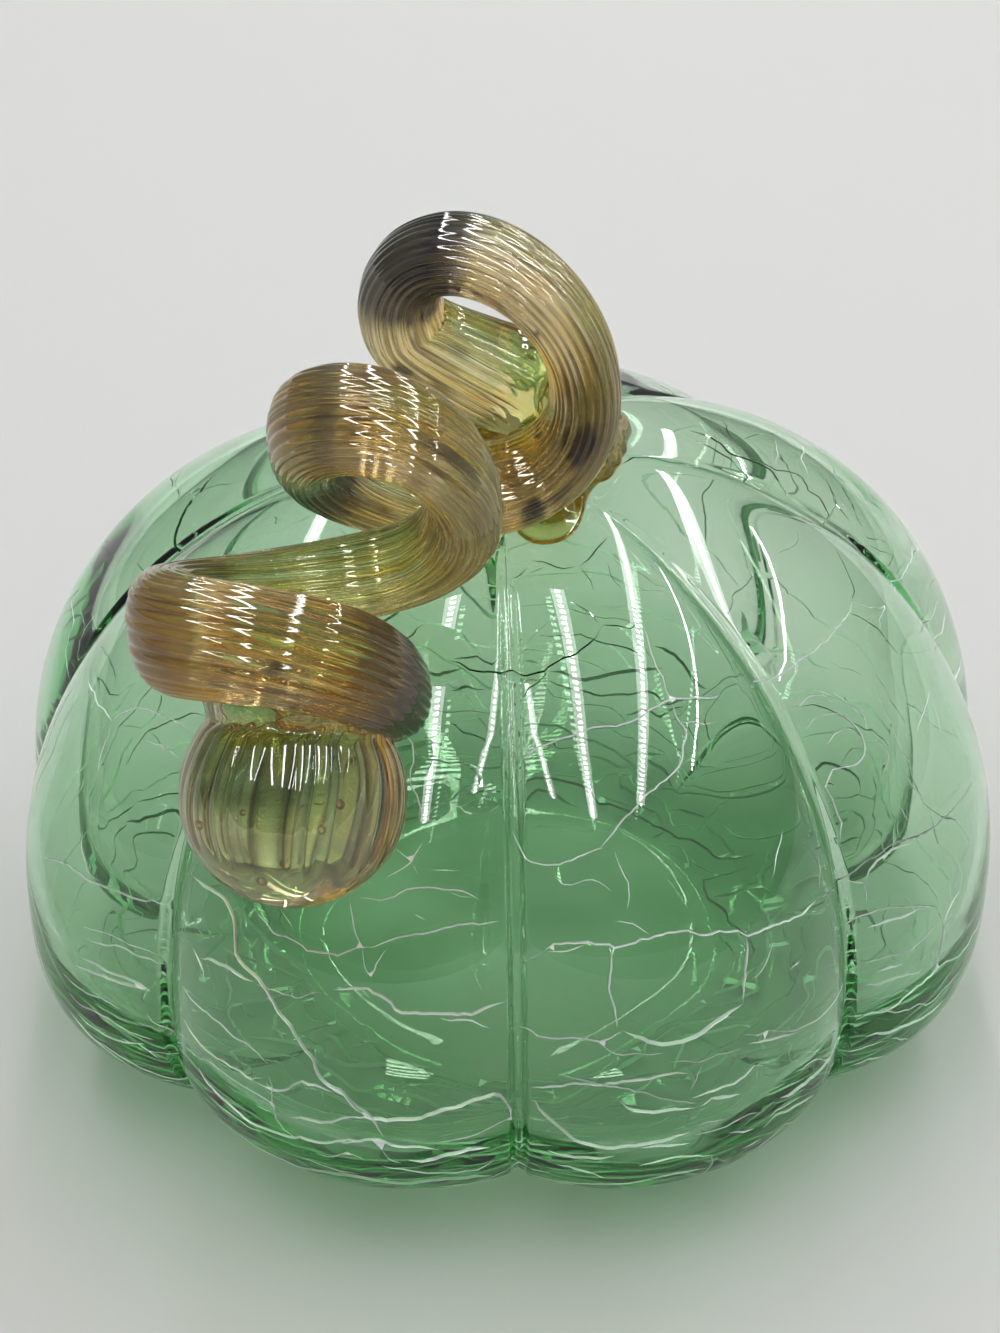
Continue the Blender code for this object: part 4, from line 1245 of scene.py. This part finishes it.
def amber_glass(name, absorb, density, fine, clear):
    """Amber glass whose streaks come from the colours on the points, broken up by a fine noise."""
    mat, tree, bsdf = glass_material(name, 0.01, absorb, density, (0.80, 0.70, 0.48))
    bsdf.inputs["IOR"].default_value = 1.62
    bsdf.inputs["Transmission Weight"].default_value = clear
    att = node(tree, "ShaderNodeAttribute", attribute_name="tint")
    geo = node(tree, "ShaderNodeTexCoord")
    noise = node(tree, "ShaderNodeTexNoise")
    noise.inputs["Scale"].default_value = fine
    noise.inputs["Detail"].default_value = 3.0
    noise.inputs["Roughness"].default_value = 0.6
    r = ramp(tree, ((0.34, (0.82, 0.67, 0.48)), (0.44, (0.98, 0.96, 0.92)), (0.60, (1.0, 1.0, 1.0))))
    mix = node(tree, "ShaderNodeMix", data_type="RGBA", blend_type="MULTIPLY")
    mix.inputs["Factor"].default_value = 1.0
    tree.links.new(geo.outputs["Object"], noise.inputs["Vector"])
    tree.links.new(noise.outputs["Fac"], r.inputs[0])
    tree.links.new(att.outputs["Color"], mix.inputs["A"])
    tree.links.new(r.outputs[0], mix.inputs["B"])
    tree.links.new(mix.outputs["Result"], bsdf.inputs["Base Color"])
    return mat


# ---------------------------------------------------------------- stage
def area(name, size_x, size_y, power, pos, aim, colour=(1.0, 1.0, 1.0)):
    data = bpy.data.lights.new(name, "AREA")
    data.shape = "RECTANGLE"
    data.size, data.size_y = size_x, size_y
    data.energy = power
    data.color = colour
    ob = bpy.data.objects.new(name, data)
    ob.location = pos
    ob.rotation_euler = (Vector(aim) - Vector(pos)).to_track_quat("-Z", "Y").to_euler()
    bpy.context.scene.collection.objects.link(ob)
    return ob


def make_stage():
    mat = bpy.data.materials.new("floor_paper")
    mat.use_nodes = True
    bsdf = mat.node_tree.nodes["Principled BSDF"]
    bsdf.inputs["Base Color"].default_value = (0.60, 0.60, 0.585, 1.0)
    bsdf.inputs["Roughness"].default_value = 0.8
    bsdf.inputs["Emission Color"].default_value = (1.0, 1.0, 0.985, 1.0)
    # painted light: the floor glows more with distance from the middle, from 0.6 m out to 2.2 m, lighting the far floor
    where = node(mat.node_tree, "ShaderNodeTexCoord")
    far = node(mat.node_tree, "ShaderNodeVectorMath", operation="LENGTH")
    lift = node(mat.node_tree, "ShaderNodeMapRange", interpolation_type="SMOOTHSTEP")
    lift.inputs["From Min"].default_value = 0.6
    lift.inputs["From Max"].default_value = 2.2
    lift.inputs["To Max"].default_value = 0.46
    mat.node_tree.links.new(where.outputs["Object"], far.inputs[0])
    mat.node_tree.links.new(far.outputs["Value"], lift.inputs["Value"])
    # painted pool of light: the floor under the glass glows, standing in for the light that the glass gathers on the
    # floor under it
    spot = node(mat.node_tree, "ShaderNodeVectorMath", operation="DISTANCE")
    spot.inputs[1].default_value = (0.0, 0.025, 0.0)
    painted_light_pool = node(mat.node_tree, "ShaderNodeMapRange", interpolation_type="SMOOTHSTEP")
    for key, value in (("From Min", 0.015), ("From Max", 0.085), ("To Min", 0.13), ("To Max", 0.0)):
        painted_light_pool.inputs[key].default_value = value
    clouds = node(mat.node_tree, "ShaderNodeTexNoise")
    clouds.inputs["Scale"].default_value = 30.0
    clouds.inputs["Detail"].default_value = 2.0
    vary = node(mat.node_tree, "ShaderNodeMapRange")
    for key, value in (("From Min", 0.36), ("From Max", 0.64), ("To Min", 0.35), ("To Max", 1.3)):
        vary.inputs[key].default_value = value
    painted_pool_glow = node(mat.node_tree, "ShaderNodeMath", operation="MULTIPLY")
    total = node(mat.node_tree, "ShaderNodeMath", operation="ADD")
    mat.node_tree.links.new(where.outputs["Object"], spot.inputs[0])
    mat.node_tree.links.new(spot.outputs["Value"], painted_light_pool.inputs["Value"])
    mat.node_tree.links.new(where.outputs["Object"], clouds.inputs["Vector"])
    mat.node_tree.links.new(clouds.outputs[0], vary.inputs["Value"])
    mat.node_tree.links.new(painted_light_pool.outputs[0], painted_pool_glow.inputs[0])
    mat.node_tree.links.new(vary.outputs[0], painted_pool_glow.inputs[1])
    mat.node_tree.links.new(lift.outputs[0], total.inputs[0])
    mat.node_tree.links.new(painted_pool_glow.outputs[0], total.inputs[1])
    mat.node_tree.links.new(total.outputs[0], bsdf.inputs["Emission Strength"])
    mesh = bpy.data.meshes.new("floor")
    s = 6.0
    mesh.from_pydata([(-s, -s, 0.0), (s, -s, 0.0), (s, s, 0.0), (-s, s, 0.0)], [], [(0, 1, 2, 3)])
    mesh.materials.append(mat)
    floor = bpy.data.objects.new("floor", mesh)
    floor.location = (0.0, 0.0, -0.0004)
    bpy.context.scene.collection.objects.link(floor)

    led = bpy.data.materials.new("led_strip")
    led.use_nodes = True
    tree = led.node_tree
    tree.nodes.remove(tree.nodes["Principled BSDF"])
    glow = node(tree, "ShaderNodeEmission")
    glow.inputs["Strength"].default_value = 44.0
    tree.links.new(glow.outputs[0], tree.nodes["Material Output"].inputs["Surface"])
    verts, faces = [], []
    for x, y0, y1 in ((0.0, -1.35, 2.3), (0.56, -1.1, 2.3), (-0.52, -1.2, 2.3), (1.15, -0.6, 1.6)):
        y = y0
        while y < y1:
            k = len(verts)
            verts += [(x - 0.017, y, 1.25), (x + 0.017, y, 1.25), (x + 0.017, y + 0.020, 1.25), (x - 0.017, y + 0.020, 1.25)]
            faces.append((k, k + 3, k + 2, k + 1))
            y += 0.040
    mesh = bpy.data.meshes.new("led_strips")
    mesh.from_pydata(verts, [], faces)
    mesh.materials.append(led)
    strips = bpy.data.objects.new("led_strips", mesh)
    strips.visible_camera = False
    strips.visible_glossy = False
    bpy.context.scene.collection.objects.link(strips)
    # the same strips as the glass mirrors them
    bright = led.copy()
    bright.name = "led_mirrored"
    bright.node_tree.nodes["Emission"].inputs["Strength"].default_value = 75.0
    mesh = mesh.copy()
    mesh.materials.clear()
    mesh.materials.append(bright)
    glints = bpy.data.objects.new("led_glints", mesh)
    glints.location = (0.0, 0.0, -0.001)
    glints.visible_camera = False
    glints.visible_diffuse = False
    glints.visible_transmission = False
    glints.visible_shadow = False
    bpy.context.scene.collection.objects.link(glints)
    haze = led.copy()
    haze.name = "led_haze"
    haze.node_tree.nodes["Emission"].inputs["Strength"].default_value = 8.0
    verts, faces = [], []
    for x, y0, y1 in ((0.0, -1.35, 2.3), (0.56, -1.1, 2.3), (-0.52, -1.2, 2.3)):
        k = len(verts)
        verts += [(x - 0.05, y0, 1.26), (x + 0.05, y0, 1.26), (x + 0.05, y1, 1.26), (x - 0.05, y1, 1.26)]
        faces.append((k, k + 3, k + 2, k + 1))
    mesh = bpy.data.meshes.new("led_haze")
    mesh.from_pydata(verts, [], faces)
    mesh.materials.append(haze)
    glow_ = bpy.data.objects.new("led_haze", mesh)
    glow_.visible_camera = False
    glow_.visible_diffuse = False
    glow_.visible_transmission = False
    glow_.visible_shadow = False
    bpy.context.scene.collection.objects.link(glow_)

    soft = area("soft_back", 1.8, 1.0, 3.0, (0.1, 1.5, 1.2), (0.0, 0.40, 0.0))
    soft.visible_glossy = False
    soft.visible_transmission = False

    # even room light: bright overhead, dimmer towards the horizon
    world = bpy.data.worlds.new("room")
    world.use_nodes = True
    tree = world.node_tree
    coord = node(tree, "ShaderNodeTexCoord")
    split = node(tree, "ShaderNodeSeparateXYZ")
    fade = node(tree, "ShaderNodeMapRange")
    fade.inputs["From Min"].default_value = 0.0
    fade.inputs["From Max"].default_value = 0.9
    fade.inputs["To Min"].default_value = 0.22
    fade.inputs["To Max"].default_value = 0.34
    tree.links.new(coord.outputs["Generated"], split.inputs[0])
    tree.links.new(split.outputs["Z"], fade.inputs["Value"])
    bg = tree.nodes["Background"]
    bg.inputs["Color"].default_value = (0.97, 1.0, 0.98, 1.0)
    path = node(tree, "ShaderNodeLightPath")
    pale = node(tree, "ShaderNodeMix", data_type="FLOAT")
    pale.inputs["B"].default_value = 0.58
    tree.links.new(path.outputs["Is Camera Ray"], pale.inputs["Factor"])
    tree.links.new(fade.outputs[0], pale.inputs["A"])
    tree.links.new(pale.outputs["Result"], bg.inputs["Strength"])
    bpy.context.scene.world = world


def main():
    make_camera()
    body = make_body(green_glass(), fracture_glass())
    coil = make_coil(amber_glass("stem_amber_glass", (0.99, 0.80, 0.30), 15.0, 150.0, 0.975))
    olive, _, bsdf = glass_material("foot_amber_glass", 0.01, (0.83, 0.71, 0.16), 70.0, (0.82, 0.76, 0.52))
    bsdf.inputs["Base Color"].default_value = (0.86, 0.76, 0.40, 1.0)
    foot = make_foot(olive)
    knob = make_knob(amber_glass("knob_amber_glass", (0.98, 0.85, 0.40), 12.0, 120.0, 0.97))
    for piece, name, slot in ((body, "pumpkin_body", "green_crackle_glass"), (foot, "stem_foot", "foot_amber_glass"),
                              (coil, "stem_coil", "stem_amber_glass"), (knob, "stem_knob", "knob_amber_glass")):
        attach(piece, "root")
        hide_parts(name)
    make_stage()
    scene = bpy.context.scene
    scene.cycles.max_bounces = 18
    scene.cycles.transmission_bounces = 18
    scene.cycles.transparent_max_bounces = 24
    scene.cycles.glossy_bounces = 12
    scene.cycles.caustics_reflective = False
    scene.cycles.caustics_refractive = False
    scene.view_settings.view_transform = "Standard"


main()
